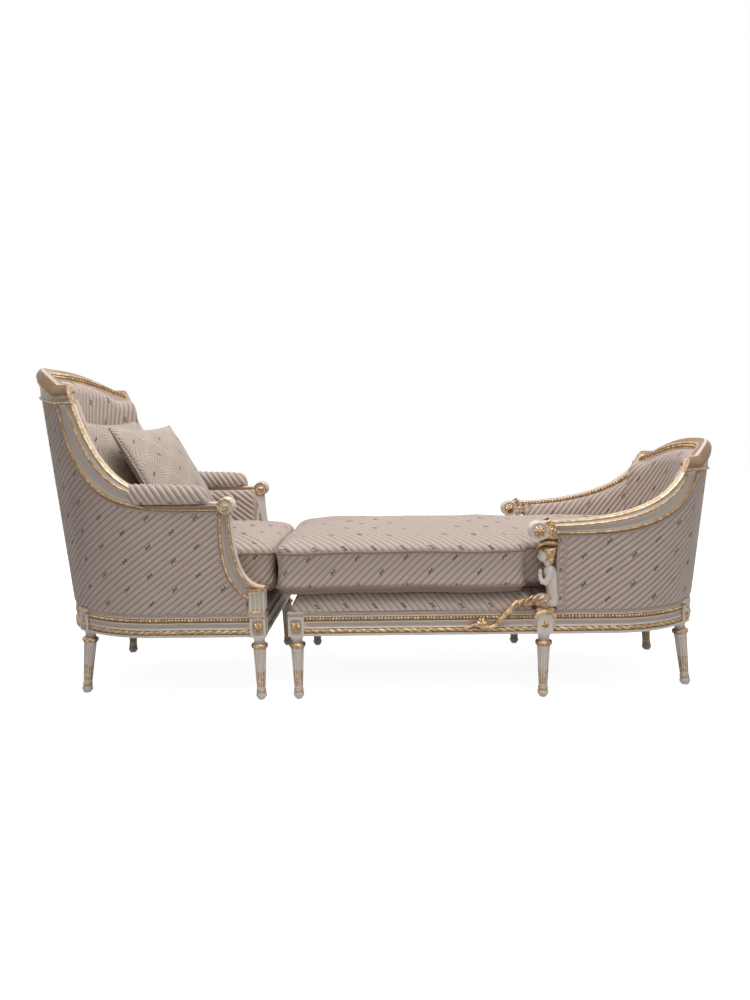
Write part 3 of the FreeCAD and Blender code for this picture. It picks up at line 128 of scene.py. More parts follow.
def closed_steps(path):
    """Unit steps along a closed path, whose last point is its first."""
    ahead = np.roll(path, -1, 0) - np.roll(path, 1, 0)
    ahead[0] = ahead[-1] = path[1] - path[-2]
    return unit(ahead)


def rings_round(path, side, top, reach, turn):
    """Rings round a path: the reach times the angle's cosine along one axis and its sine along the other."""
    return (path[:, None] + (reach * np.cos(turn))[..., None] * side[:, None]
            + (reach * np.sin(turn))[..., None] * top[:, None])


def quad_table(rows, columns):
    """Corner numbers of a grid's quads, row by row."""
    index = np.arange(rows * columns).reshape(rows, columns)
    return np.stack([index[:-1, :-1], index[:-1, 1:], index[1:, 1:], index[1:, :-1]], -1).reshape(-1, 4)


# Mesh building

class Piece:
    """Grids and rings of points in millimetres, gathered into one mesh object."""

    def __init__(self, name, finishes):
        self.name = name
        self.finishes = finishes
        self.parts = []
        self.count = 0

    def keep(self, points, uv, faces, slots):
        """Add points, and faces whose corners are numbered from the first of them."""
        self.parts.append((points, uv, faces + self.count, slots))
        self.count += len(points)
        return self

    def grid(self, points, uv=None, slot=0):
        """Quads between neighbouring points; slot is one number, or one for each quad."""
        rows, columns = points.shape[:2]
        uv = points[..., :2] if uv is None else np.asarray(uv, float)
        return self.keep(points.reshape(-1, 3), uv.reshape(-1, 2), quad_table(rows, columns),
                         np.broadcast_to(slot, (rows - 1, columns - 1)).reshape(-1))

    def lid(self, ring, slot=0):
        """One flat face over a ring of points."""
        ring = np.asarray(ring, float)
        return self.keep(ring, ring[:, :2], np.arange(len(ring))[None], np.array([slot]))

    def copies(self, pattern, centres, turns, slot=0):
        """A small grid repeated: turns holds a 3 by 3 matrix for each centre, its rows the pattern's axes."""
        placed = (pattern.reshape(-1, 3) @ turns + centres[:, None]).reshape(-1, 3)
        quads = quad_table(*pattern.shape[:2])
        starts = np.arange(len(centres))[:, None, None] * pattern.shape[0] * pattern.shape[1]
        return self.keep(placed, placed[:, :2], (quads + starts).reshape(-1, 4),
                         np.full(len(quads) * len(centres), slot))

    def make(self, body, slot, replaces=()):
        """Write the mesh, close its seams, turn its faces outwards and let it ride on its body."""
        mesh = bpy.data.meshes.new(self.name)
        points, uvs, faces, slots = zip(*self.parts)
        corners = np.concatenate([table.ravel() for table in faces])
        sizes = np.concatenate([np.full(len(table), table.shape[1]) for table in faces])
        mesh.vertices.add(self.count)
        mesh.vertices.foreach_set("co", (np.concatenate(points) * MM).ravel())
        mesh.loops.add(len(corners))
        mesh.loops.foreach_set("vertex_index", corners.astype(np.int32))
        mesh.polygons.add(len(sizes))
        mesh.polygons.foreach_set("loop_start", (np.cumsum(sizes) - sizes).astype(np.int32))
        mesh.polygons.foreach_set("material_index", np.concatenate(slots).astype(np.int32))
        layer = mesh.uv_layers.new(name="UVMap")
        layer.data.foreach_set("uv", (np.concatenate(uvs)[corners] * MM).ravel())
        mesh.update(calc_edges=True)
        work = bmesh.new()
        work.from_mesh(mesh)
        bmesh.ops.remove_doubles(work, verts=work.verts, dist=WELD * MM)
        bmesh.ops.recalc_face_normals(work, faces=work.faces)
        work.to_mesh(mesh)
        work.free()
        mesh.shade_smooth()
        mesh.set_sharp_from_angle(angle=SHARP_EDGE)
        for finish in self.finishes:
            mesh.materials.append(finish)
        made = bpy.data.objects.new(self.name, mesh)
        bpy.context.scene.collection.objects.link(made)
        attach(made, body)
        if replaces:
            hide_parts(*replaces)
        return made


# Finishes

def linear(text):
    """sRGB hex colour as linear red, green, blue and alpha."""
    parts = [int(text[n:n + 2], 16) / 255 for n in (0, 2, 4)]
    return [c / 12.92 if c <= 0.04045 else ((c + 0.055) / 1.055) ** 2.4 for c in parts] + [1.0]


def add(tree, kind, inputs, output=0, **settings):
    """Add a shader node and give one of its outputs. inputs gives sockets, by name or number, a plain value,
    a hex colour or another node's output."""
    made = tree.nodes.new("ShaderNode" + kind)
    for name, value in settings.items():
        setattr(made, name, value)
    for socket, value in inputs.items():
        if isinstance(value, bpy.types.NodeSocket):
            tree.links.new(value, made.inputs[socket])
        else:
            made.inputs[socket].default_value = linear(value) if isinstance(value, str) else value
    return made.outputs[output]


def new_finish(name, **sockets):
    """New material and its node tree; the shader's plain sockets are set here."""
    finish = bpy.data.materials.new(name)
    finish.use_nodes = True
    shader = finish.node_tree.nodes["Principled BSDF"]
    for socket, amount in sockets.items():
        shader.inputs[socket.replace("_", " ")].default_value = amount
    return finish, finish.node_tree


def coated(finish, colour, height, strength, distance):
    """The finish with a colour and a fine relief, which is at most distance metres deep."""
    tree = finish.node_tree
    shader = tree.nodes["Principled BSDF"]
    relief = add(tree, "Bump", {"Height": height, "Strength": strength, "Distance": distance}, "Normal")
    tree.links.new(colour, shader.inputs["Base Color"])
    tree.links.new(relief, shader.inputs["Normal"])
    return finish


def cloth_in_mm(tree):
    """The piece's own cloth coordinates, turned from metres to millimetres."""
    place = add(tree, "UVMap", {}, uv_map="UVMap")
    return add(tree, "VectorMath", {0: place, 1: (1000, 1000, 0)}, operation="MULTIPLY")


def ivory_paint():
    """Beech under casein paint, rubbed down. A warm grey-white in soft patches, darker and browner in
    hollows.
    """
    finish, tree = new_finish("ivory_paint", Roughness=0.42, IOR=1.5)
    place = add(tree, "TexCoord", {}, "Object")
    patches = add(tree, "TexNoise", {"Vector": place, "Scale": 22, "Detail": 4}, "Fac")
    strokes = add(tree, "TexNoise", {"Vector": place, "Scale": 420, "Detail": 3}, "Fac")
    edges = add(tree, "NewGeometry", {}, "Pointiness")
    hollow = add(tree, "MapRange",
                 {"Value": edges, "From Min": 0.44, "From Max": 0.5, "To Min": 1, "To Max": 0})
    tone = add(tree, "Mix", {0: patches, 6: "CFC3B8", 7: "DDD3C9"}, 2, data_type="RGBA")
    dulled = add(tree, "Math", {0: hollow, 1: 0.7}, operation="MULTIPLY")
    colour = add(tree, "Mix", {0: dulled, 6: tone, 7: "8F7A68"}, 2, data_type="RGBA")
    return coated(finish, colour, strokes, 0.12, 0.0006)


def gold_leaf():
    """Gold leaf over red-brown size: warm metal in patches of tone, dark brown in hollows."""
    finish, tree = new_finish("gold_leaf", Metallic=0.75, Roughness=0.4)
    place = add(tree, "TexCoord", {}, "Object")
    rubbing = add(tree, "TexNoise", {"Vector": place, "Scale": 90, "Detail": 5}, "Fac")
    ramp = add(tree, "MapRange", {"Value": rubbing, "From Min": 0.42, "From Max": 0.62})
    edges = add(tree, "NewGeometry", {}, "Pointiness")
    hollow = add(tree, "MapRange",
                 {"Value": edges, "From Min": 0.42, "From Max": 0.5, "To Min": 1, "To Max": 0})
    tone = add(tree, "Mix", {0: ramp, 6: "A48462", 7: "D8BA92"}, 2, data_type="RGBA")
    dulled = add(tree, "Math", {0: hollow, 1: 0.8}, operation="MULTIPLY")
    colour = add(tree, "Mix", {0: dulled, 6: tone, 7: "54391F"}, 2, data_type="RGBA")
    return coated(finish, colour, rubbing, 0.25, 0.0008)


def spot_at(tree, place, centre, reach, turn=0.0):
    """1 inside an ellipse with the given half sizes, with a soft edge, else 0."""
    shifted = add(tree, "VectorMath", {0: place, 1: (*centre, 0)}, operation="SUBTRACT")
    turned = add(tree, "VectorRotate", {"Vector": shifted, "Angle": turn}, rotation_type="Z_AXIS")
    scaled = add(tree, "VectorMath", {0: turned, 1: (*reach, 1)}, operation="DIVIDE")
    far = add(tree, "VectorMath", {0: scaled}, "Value", operation="LENGTH")
    return add(tree, "MapRange", {"Value": far, "From Min": 0.75, "From Max": 1.15, "To Min": 1, "To Max": 0})


def most_of(tree, parts):
    """The largest of several values."""
    total = parts[0]
    for part in parts[1:]:
        total = add(tree, "Math", {0: total, 1: part}, operation="MAXIMUM")
    return total


# seed, stem and four leaves of the cloth's sprig: middle, half sizes and turn of each, along the rib
SPRIG = [((-1, 0), (4.6, 3.0), 0.0), ((0, 0), (13, 1.0), 0.0), ((7, 2.6), (5.0, 2.1), -0.5),
         ((-7.5, -2.8), (4.6, 2.0), -0.5), ((5.5, -3.4), (3.0, 1.5), 0.4), ((-5, 4), (3.2, 1.5), 0.4)]


def staggered(tree, cloth, across, up):
    """Places in two staggered lattices, each measured from the middle of its own cell."""
    found = []
    for shift in (0.0, 0.5):
        cells = add(tree, "VectorMath", {0: cloth, 1: (across, up, 1)}, operation="DIVIDE")
        moved = add(tree, "VectorMath", {0: cells, 1: (shift, shift, 0)}, operation="ADD")
        inside = add(tree, "VectorMath", {0: moved}, operation="FRACTION")
        centred = add(tree, "VectorMath", {0: inside, 1: (0.5, 0.5, 0)}, operation="SUBTRACT")
        found.append(add(tree, "VectorMath", {0: centred, 1: (across, up, 0)}, operation="MULTIPLY"))
    return found


def ribbed_cloth(name, angle):
    """Satin cloth woven in padded ribs with small dark sprigs, with painted shade in the seams between ribs
    and a painted highlight on each rib's upper side.
    """
    finish, tree = new_finish(name, Roughness=0.62, Sheen_Weight=0.25, Sheen_Roughness=0.4)
    cloth = cloth_in_mm(tree)
    sine, cosine = math.sin(angle), math.cos(angle)
    # count of ribs: the distance at right angles to them, over their pitch
    phase = add(tree, "VectorMath", {0: cloth, 1: (-sine / RIB_PITCH, cosine / RIB_PITCH, 0)}, "Value",
                operation="DOT_PRODUCT")
    half_turns = add(tree, "Math", {0: phase, 1: math.pi}, operation="MULTIPLY")
    wave = add(tree, "Math", {0: half_turns}, operation="SINE")
    crest_share = add(tree, "Math", {0: wave}, operation="ABSOLUTE")
    # painted shade: the cloth darkens towards the seams between the ribs
    seam = add(tree, "MapRange", {"Value": crest_share, "From Min": 0.0, "From Max": 0.5})
    yarn = add(tree, "TexNoise", {"Vector": cloth, "Scale": 0.35, "Detail": 4}, "Fac")
    # painted light across each rib: a painted highlight on its upper side and painted shade on its lower side
    painted_light_flank = add(tree, "Math", {0: phase}, operation="FRACT")
    speckle = add(tree, "Math", {0: yarn, 1: 0.25}, operation="MULTIPLY")
    share = add(tree, "Math", {0: painted_light_flank, 1: 0.75, 2: speckle}, operation="MULTIPLY_ADD")
    tone = add(tree, "Mix", {0: share, 6: "A89388", 7: "D2C2B7"}, 2, data_type="RGBA")
    shaded = add(tree, "Mix", {0: seam, 6: "8C776A", 7: tone}, 2, data_type="RGBA")
    # threads wound round each rib, drawn so far apart that they show from a step away
    wound = add(tree, "VectorMath", {0: cloth, 1: (cosine / THREAD_PITCH, sine / THREAD_PITCH, 0)}, "Value",
                operation="DOT_PRODUCT")
    turns = add(tree, "Math", {0: wound, 1: 2 * math.pi}, operation="MULTIPLY")
    thread = add(tree, "Math", {0: turns}, operation="SINE")
    marks = []
    for place in staggered(tree, cloth, SPRIG_ACROSS, SPRIG_UP):
        turned = add(tree, "VectorRotate", {"Vector": place, "Angle": -angle}, rotation_type="Z_AXIS")
        marks += [spot_at(tree, turned, *part) for part in SPRIG]
    dark = add(tree, "Math", {0: most_of(tree, marks), 1: 0.85}, operation="MULTIPLY")
    colour = add(tree, "Mix", {0: dark, 6: shaded, 7: "3A2E2B"}, 2, data_type="RGBA")
    return coated(finish, colour, thread, 0.5, 0.0006)


def pillow_cloth():
    """Cloth woven with fine lines that spread from small dark bars, which lie on a staggered grid."""
    finish, tree = new_finish("pillow_cloth", Roughness=0.6, Sheen_Weight=0.25, Sheen_Roughness=0.4)
    cloth = cloth_in_mm(tree)
    wobble = add(tree, "TexNoise", {"Vector": cloth, "Scale": 0.05, "Detail": 3}, "Color")
    shifts = add(tree, "VectorMath", {0: wobble, 1: (7, 7, 0)}, operation="MULTIPLY")
    drawn = add(tree, "VectorMath", {0: cloth, 1: shifts}, operation="ADD")
    bursts, bars = [], []
    for number, place in enumerate(staggered(tree, drawn, 148, 128)):
        x, y = (add(tree, "SeparateXYZ", {0: place}, axis) for axis in "XY")
        angle = add(tree, "Math", {0: y, 1: x}, operation="ARCTAN2")
        rays = add(tree, "Math", {0: angle, 1: 26}, operation="MULTIPLY")
        wave = add(tree, "Math", {0: rays}, operation="SINE")
        far = add(tree, "VectorMath", {0: place}, "Value", operation="LENGTH")
        near = add(tree, "MapRange", {"Value": far, "From Min": 40, "From Max": 60, "To Min": 1, "To Max": 0})
        bursts.append(add(tree, "Math", {0: wave, 1: near}, operation="MULTIPLY"))
        flat = add(tree, "VectorRotate", {"Vector": place, "Angle": 0.9 - 1.7 * number},
                   rotation_type="Z_AXIS")
        sides = add(tree, "VectorMath", {0: flat}, operation="ABSOLUTE")
        past = add(tree, "VectorMath", {0: sides, 1: (9, 2.8, 0)}, operation="SUBTRACT")
        farthest = most_of(tree, [add(tree, "SeparateXYZ", {0: past}, axis) for axis in "XY"])
        bars.append(add(tree, "Math", {0: farthest, 1: 0}, operation="LESS_THAN"))
    both = add(tree, "Math", {0: bursts[0], 1: bursts[1]}, operation="ADD")
    share = add(tree, "MapRange", {"Value": both, "From Min": -0.9, "From Max": 0.2})
    tone = add(tree, "Mix", {0: share, 6: "8C7A6E", 7: "BBACA0"}, 2, data_type="RGBA")
    colour = add(tree, "Mix", {0: most_of(tree, bars), 6: tone, 7: "4E4039"}, 2, data_type="RGBA")
    return coated(finish, colour, share, 0.15, 0.0005)


def twisted(name, roughness, pitch, edge, dark, light):
    """Yarns of two tones twisted together: sine of the length along over the pitch, plus the angle round."""
    finish, tree = new_finish(name, Roughness=roughness, Sheen_Weight=0.2)
    cloth = cloth_in_mm(tree)
    along, around = (add(tree, "SeparateXYZ", {0: cloth}, axis) for axis in "XY")
    turn = add(tree, "Math", {0: along, 1: 2 * math.pi / pitch, 2: around}, operation="MULTIPLY_ADD")
    wave = add(tree, "Math", {0: turn}, operation="SINE")
    share = add(tree, "MapRange", {"Value": wave, "From Min": -edge, "From Max": edge})
    colour = add(tree, "Mix", {0: share, 6: dark, 7: light}, 2, data_type="RGBA")
    return coated(finish, colour, share, 0.5, 0.0008)


def speckled(name, dark, light, scale, detail, relief, **sockets):
    """Plain finish that a noise, stretched by scale, shades dark to light; relief is strength and depth."""
    finish, tree = new_finish(name, **sockets)
    place = add(tree, "TexCoord", {}, "Object")
    drawn = add(tree, "VectorMath", {0: place, 1: scale}, operation="MULTIPLY")
    grain = add(tree, "TexNoise", {"Vector": drawn, "Scale": 1.0, "Detail": detail}, "Fac")
    colour = add(tree, "Mix", {0: grain, 6: dark, 7: light}, 2, data_type="RGBA")
    return coated(finish, colour, grain, *relief)


IVORY = ivory_paint()
GOLD = gold_leaf()
# darker gilding for the ground behind beads, for coves and for rope grooves: painted shade in these hollows
SHADED_GOLD = speckled("shaded_gold", "7A5E44", "A98C6B", (120, 120, 120), 5, (0.2, 0.0006), Metallic=0.5,
                  Roughness=0.5)
RIBBED = ribbed_cloth("ribbed_cloth", RIB_ANGLE)
RIBBED_CUSHION = ribbed_cloth("ribbed_cushion_cloth", CUSHION_ANGLE)
# the same yarn woven plain, for welts and undersides
WELT = speckled("welt_cloth", "6C574B", "957E70", (600, 600, 600), 3, (0.3, 0.0005), Roughness=0.7,
                Sheen_Weight=0.2, Sheen_Roughness=0.4)
PILLOW = pillow_cloth()
# narrow braid of loops in rose brown and cream, and a cord of a light and a dark strand
BRAID = twisted("braid", 0.7, 5, 0.6, "85695A", "D2BEAF")
CORD = twisted("twisted_cord", 0.65, 9, 0.3, "826B5C", "D0C0B0")
# sawn beech, woven jute, glazed cotton and drawn steel, for the pieces inside and underneath
BEECH = speckled("bare_beech", "A98256", "C9A57C", (300, 20, 300), 5, (0.2, 0.0006), Roughness=0.6)
JUTE = speckled("jute_webbing", "8A6F48", "B09468", (900, 900, 900), 5, (0.2, 0.0006), Roughness=0.9)
CAMBRIC = speckled("black_cambric", "171513", "24211F", (1200, 1200, 1200), 5, (0.2, 0.0006), Roughness=0.9)
STEEL = speckled("plain_steel", "8C8C8C", "A8A8A8", (800, 80, 80), 5, (0.2, 0.0006), Roughness=0.35,
                 Metallic=1.0)


# Plan of the seats, as in the part's own source: straight sides that end in a half ellipse and lean out

class Seat:
    """One of the two seats; u runs from its square end towards its rounded back. legs gives the place in u of
    each upright leg, and rear_angle the degrees round the half ellipse where the raked legs stand."""

    def __init__(self, name, front, facing, straight, half_width, end_depth, back_lean, legs, rear_angle):
        self.name = name
        self.legs = legs
        self.rear_angle = math.radians(rear_angle)
        self.front = front
        self.facing = facing
        self.straight = straight
        self.half_width = half_width
        self.end_depth = end_depth
        self.back_slope = math.tan(math.radians(back_lean))
        self.side_slope = math.tan(math.radians(SIDE_LEAN))
        self.turns = np.linspace(0, math.pi / 2, 241)
        quarter = np.stack([end_depth * np.cos(self.turns), half_width * np.sin(self.turns)], -1)
        self.arc = lengths(quarter)

    def at(self, u, y, z):
        """Point at a place along the seat, across it and above the floor."""
        x = self.front + self.facing * np.asarray(u, float)
        return np.stack(np.broadcast_arrays(x, y, z), -1).astype(float)

    def radii(self, z):
        """Depth of the rounded end and half the width at a height: both grow, as the walls lean out."""
        rise = z - RAIL_TOP
        return self.end_depth + self.back_slope * rise, self.half_width + self.side_slope * rise

    def wall(self, along, z, end_inset=0.0, side_inset=None):
        """Point of the leaning wall; along is measured from the back's middle, far side positive."""
        side_inset = end_inset if side_inset is None else side_inset
        depth, width = self.radii(z)
        turn = np.interp(np.abs(along), self.arc, self.turns)
        past = np.maximum(np.abs(along) - self.arc[-1], 0)
        return self.at(self.straight + (depth - end_inset) * np.cos(turn) - past,
                       np.sign(along) * (width - side_inset) * np.sin(turn), z)

    def along(self, u, z=RAIL_TOP, inset=0.0):
        """Length on the plan from the back's middle to the place u on a side, at a height and an inset."""
        depth = self.radii(z)[0] - inset
        turn = np.arccos(np.clip((u - self.straight) / depth, 0, 1))
        return np.interp(turn, self.turns, self.arc) + np.maximum(self.straight - u, 0)

    def side_point(self, u, z, inset, side):
        """Point of one side at a place u, a height and an inset from the cloth's face."""
        return self.wall(side * self.along(u, z, inset), z, inset)

    def spots(self, along, inset=0.0):
        """Points of the rail's plan and their outward normals."""
        points = self.wall(along, np.full_like(along, RAIL_TOP), inset)
        ahead = self.wall(along + 0.5, np.full_like(along, RAIL_TOP), inset)
        behind = self.wall(along - 0.5, np.full_like(along, RAIL_TOP), inset)
        step = unit(ahead - behind)
        outward = np.stack([step[:, 1], -step[:, 0], step[:, 2]], -1)
        middle = self.at(self.straight, 0.0, RAIL_TOP)
        outward *= np.sign(np.sum(outward * (points - middle), -1, keepdims=True))
        return points, outward


def middle_of(node):
    """Middle of a CAD node's box, in millimetres."""
    low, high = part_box(node)
    return np.array((low + high) / 2) / MM


chair = Seat("armchair", middle_of("armchair_front_leg_near")[0] + BLOCK / 2, -1, 354, 330, 365, 5.33,
             {"front": BLOCK / 2}, 43)
foot = Seat("foot_seat", middle_of("foot_seat_end_leg_near")[0] - BLOCK / 2, 1, 1025, 325, 340, 5.1,
            {"end": BLOCK / 2, "middle": MIDDLE_LEG}, 37)
SIDES = (("near", -1), ("far", 1))

# Outlines of the arms and crests, in u and z or y and z
CHAIR_LOW = bezier([(156, 619), (460, 619), (597, 629), (662, 955)], 90)
CHAIR_TOP = bezier([(412, 700), (524, 756), (585, 922), (609, 1019)], 60)
FOOT_LOW = bezier([(861, 529), (951, 531), (1261, 509), (1322, 712)], 90)
FOOT_TOP = bezier([(790, 569), (1017, 569), (1228, 608), (1273, 759)], 90)
CONSOLE_BACK = bezier([(50.4, 334), (136, 386), (140, 484), (134, 606)], 60)
CONSOLE_FRONT = bezier([(0, 373), (78, 376), (94, 468), (100, 606)], 60)
FOOT_CLOTH_FRONT = 848


def crest_top(seat, y):
    """Crest's top outline: level shoulders and an arch that falls as 1 - q to the power 3.2."""
    shoulder, rise, arch = (1019, 66, 242) if seat is chair else (759, 51, 208)
    return shoulder + rise * (1 - np.minimum(np.abs(y) / arch, 1) ** 3.2)


def crest_under(seat, y):
    """Crest's lower outline outside: level at the stiles, a low arch in the middle."""
    level, middle, arch = (955, 985, 242) if seat is chair else (712, 706, 208)
    return level + (middle - level) * (1 - np.minimum(np.abs(y) / arch, 1) ** 2)


# Walls of ribbed cloth

def ribs(cloth, angle=RIB_ANGLE):
    """Height of the padded ribs: the sine of the distance across them, with narrow seams between."""
    phase = (-math.sin(angle) * cloth[..., 0] + math.cos(angle) * cloth[..., 1]) / RIB_PITCH
    return RIB_HEIGHT * np.abs(np.sin(math.pi * phase)) ** 0.9


def cloth_front(seat, z):
    """u of the cloth's front edge at a height."""
    if seat is foot:
        return np.full_like(z, FOOT_CLOTH_FRONT)
    return np.interp(z, CONSOLE_BACK[:, 1], CONSOLE_BACK[:, 0])


def outside_top(seat):
    """Table of the outside cloth's upper edge: length on the plan, height."""
    low = CHAIR_LOW if seat is chair else FOOT_LOW
    level = low[-1, 1]
    end = seat.along(low[-1, 0], level)
    middle = np.linspace(0, end, 60)
    y = seat.wall(middle, np.full_like(middle, level))[:, 1]
    side = seat.along(low[:, 0], low[:, 1])[::-1]
    return np.concatenate([middle, side]), np.concatenate([crest_under(seat, y), low[::-1, 1]])


def inside_top(seat):
    """Table of the inside cloth's upper edge, below the arm rail's top and the crest's by their reveals."""
    top = CHAIR_TOP if seat is chair else FOOT_TOP
    end = seat.along(top[-1, 0], top[-1, 1])
    middle = np.linspace(0, end, 60)
    y = seat.wall(middle, np.full_like(middle, top[-1, 1] - CREST_REVEAL))[:, 1]
    side = seat.along(top[:, 0] + PAD_REVEAL, top[:, 1], 50.0)[::-1]
    heights = top[::-1, 1] - (PAD_REVEAL if seat is foot else 0)
    heights = np.minimum(heights, crest_top(seat, y[-1]) - CREST_REVEAL)
    low = side.max() + 30
    floor = 631 if seat is chair else top[0, 1] - PAD_REVEAL
    return (np.concatenate([middle, side, [low, low + 900]]),
            np.concatenate([crest_top(seat, y) - CREST_REVEAL, heights, [floor, floor]]))


def cloth_grid(seat, table, low):
    """Lengths on the plan and heights of a wall's cloth: rows rise from low to the upper edge, and columns
    near the front are drawn together to follow the front edge."""
    widest = float(seat.along(cloth_front(seat, np.array([low]))[0]))
    columns = np.linspace(-widest, widest, int(2 * widest / 4.8))
    rows = np.linspace(0, 1, int((np.max(table[1]) - low) / 3.4))[:, None]
    top = np.interp(np.abs(columns), *table)
    z = low + rows * (top - low)
    zone = 170
    reach = seat.along(cloth_front(seat, z))
    inner = widest - zone
    share = np.clip((np.abs(columns) - inner) / zone, 0, 1)
    along = np.sign(columns) * (np.minimum(np.abs(columns), inner) + share * (reach - inner))
    fade = np.minimum(smooth((top - z) / 9), smooth((z - low) / 9)) * smooth((reach - np.abs(along)) / 9)
    return along, z, fade


def shell(piece, front, back, cloth):
    """Closed pad: its shown side, a straight-ruled side behind, and the four edges between them."""
    ends = [0, -1]
    piece.grid(front, cloth).grid(back[ends], cloth[ends])
    for row in ends:
        piece.grid(np.stack([front[row], back[row]]), np.stack([cloth[row], cloth[row]]))
    for column in ends:
        piece.lid(np.concatenate([front[:, column], back[ends[::-1], column]]))
    return piece


def outside_cover(seat):
    """Cloth outside the arms and back, its ribs raised along the wall's normals; they fade at the edges."""
    along, z, fade = cloth_grid(seat, outside_top(seat), RAIL_TOP - 1)
    cloth = np.stack([seat.facing * along, z], -1)
    flat = seat.wall(along, z, 0.5)
    outward = grid_normals(flat) * seat.facing
    front = flat + outward * (ribs(cloth) * fade)[..., None] * 0.9
    back = seat.wall(along, z, 2.8)
    piece = shell(Piece(seat.name + "_outside_cover", [RIBBED]), front, back, cloth)
    piece.make(seat.name, "ribbed_cloth", [seat.name + "_outside_cover"])


def inside_upholstery(seat):
    """Stuffed walls inside: full thickness below, rounding over to the frame along the upper edge."""
    along, z, fade = cloth_grid(seat, inside_top(seat), RAIL_TOP + 20)
    table = inside_top(seat)
    top = np.interp(np.abs(along), *table)
    drop = np.clip((top - z) / 46, 0, 1)
    roll = np.sqrt(1 - (1 - drop) ** 2)
    frame_face = ARM_THICK - ARM_PROUD - 3
    swell = 1 + 0.06 * np.sin(math.pi * np.clip((z - RAIL_TOP) / (top - RAIL_TOP), 0, 1))
    end_inset = frame_face + (BACK_WALL * swell - frame_face) * roll
    side_inset = frame_face + (SIDE_WALL * swell - frame_face) * roll
    cloth = np.stack([-seat.facing * along, z], -1)
    # the back's cloth is laid with steeper ribs; each chair arm has its own length, with ribs the other way
    turn = (INNER_BACK_ANGLE if seat is chair else FOOT_INNER_ANGLE) - RIB_ANGLE
    sine, cosine = math.sin(turn), math.cos(turn)
    back_cloth = cloth @ np.array([[cosine, -sine], [sine, cosine]])
    own_length = (np.abs(along) > seat.arc[200])[..., None] & (seat is chair)
    cloth = np.where(own_length, cloth * [-1, 1], back_cloth)
    flat = seat.wall(along, z, end_inset, side_inset)
    inward = grid_normals(flat) * -seat.facing
    front = flat + inward * (ribs(cloth) * fade)[..., None] * 0.8
    back = seat.wall(along, z, 6.0)
    piece = shell(Piece(seat.name + "_inside_upholstery", [RIBBED]), front, back, cloth)
    piece.make(seat.name, "ribbed_cloth", [seat.name + "_inside_upholstery"])


# Mouldings, beads and ropes

def carried(path, outward, section):
    """Grid of a section, given as offset outwards and height, carried along a path in plan."""
    section = np.asarray(section, float)
    points = path[:, None, :] + outward[:, None, :] * section[None, :, :1]
    points[..., 2] = section[None, :, 1]
    return points


def dome(radius, height):
    """Small dome on the plane of its first two axes, from its rim up to its middle."""
    turn = np.linspace(0, 2 * math.pi, 11)[None, :]
    reach = np.array([1, 0.85, 0.5, 0])[:, None]
    return np.stack([radius * reach * np.cos(turn), radius * reach * np.sin(turn),
                     height * np.sqrt(1 - reach ** 2) + 0 * turn], -1)


def bead_row(piece, path, outward, gap, radius, height):
    """Row of gilded beads along a path."""
    spots, normals = respaced(path, gap, outward)
    ups = np.broadcast_to([0.0, 0.0, 1.0], normals.shape)
    axes = unit(np.stack([np.cross(ups, normals), ups, normals], 1))
    return piece.copies(dome(radius, height), spots, axes, 1)


def beaded(piece, place, spot, facing, gap, radius, height, start=0):
    """Row of beads on a moulding at spot, given as anchor, shift and inset; they look to the inset facing."""
    line = place(*spot)
    outward = unit(place(*spot[:2], facing) - line)
    bead_row(piece, line[start:], outward[start:], gap, radius, height)


def rope(piece, path, outward, height, radius, pitch):
    """Twisted rope: its radius waves with the angle round less the length along; its grooves take the darker
    gold that paints shade.
    """
    path, outward = respaced(path, pitch / 14, outward)
    far = lengths(path)[:, None]
    turn = np.radians(np.linspace(-100, 100, 19))[None, :]
    wave = np.abs(np.cos(math.pi * far / pitch - turn))
    reach = radius * (0.66 + 0.42 * wave ** 0.7)
    points = path[:, None] + outward[:, None] * (reach * np.cos(turn))[..., None]
    points[..., 2] = height + reach * np.sin(turn)
    # painted shade: the grooves between the strands get the darker gold
    return piece.grid(points, slot=np.where(wave[:-1, :-1] < 0.36, 2, 1))


def cord(piece, path, radius, slot):
    """Round cord along a closed path; its cloth coordinates are the length along and the angle round it."""
    ahead = closed_steps(path)
    side = unit(np.cross(ahead, [0.03, 0.02, 1]))
    turn = np.linspace(0, 2 * math.pi, 9)
    uv = np.stack(np.broadcast_arrays(lengths(path)[:, None], turn[None, :]), -1)
    return piece.grid(rings_round(path, side, np.cross(side, ahead), radius, turn), uv, slot)


def banded(piece, columns, place, end_slot=0):
    """Closed moulding: place gives a line of points for each column of anchor, shift, inset and finish."""
    lines = [place(anchor, shift, inset) for anchor, shift, inset, _ in columns]
    grid = np.stack(lines + lines[:1], 1)
    piece.grid(grid, slot=np.array([column[3] for column in columns])[None, :])
    piece.lid(grid[0, :-1], end_slot).lid(grid[-1, :-1], end_slot)


def relief(piece, corner, right, out, across, tall, height, slot=0):
    """Upright flat face with carving on it: height is worked out from the two lengths over the face."""
    x, y = np.meshgrid(across, tall)
    points = (corner + x[..., None] * right + y[..., None] * np.array([0, 0, 1])
              + height(x, y)[..., None] * out)
    piece.grid(points, slot=slot)


def stacked_squares(piece, centre, levels):
    """Gilded square mouldings: levels of height and half side, joined by faces, closed below and above."""
    corners = np.array([(-1, -1), (1, -1), (1, 1), (-1, 1), (-1, -1)], float)
    rings = np.stack([np.concatenate([corners * half + centre[:2], np.full((5, 1), z)], 1)
                      for z, half in levels])
    piece.grid(rings, slot=1).lid(rings[0, :-1], 1).lid(rings[-1, :-1], 1)


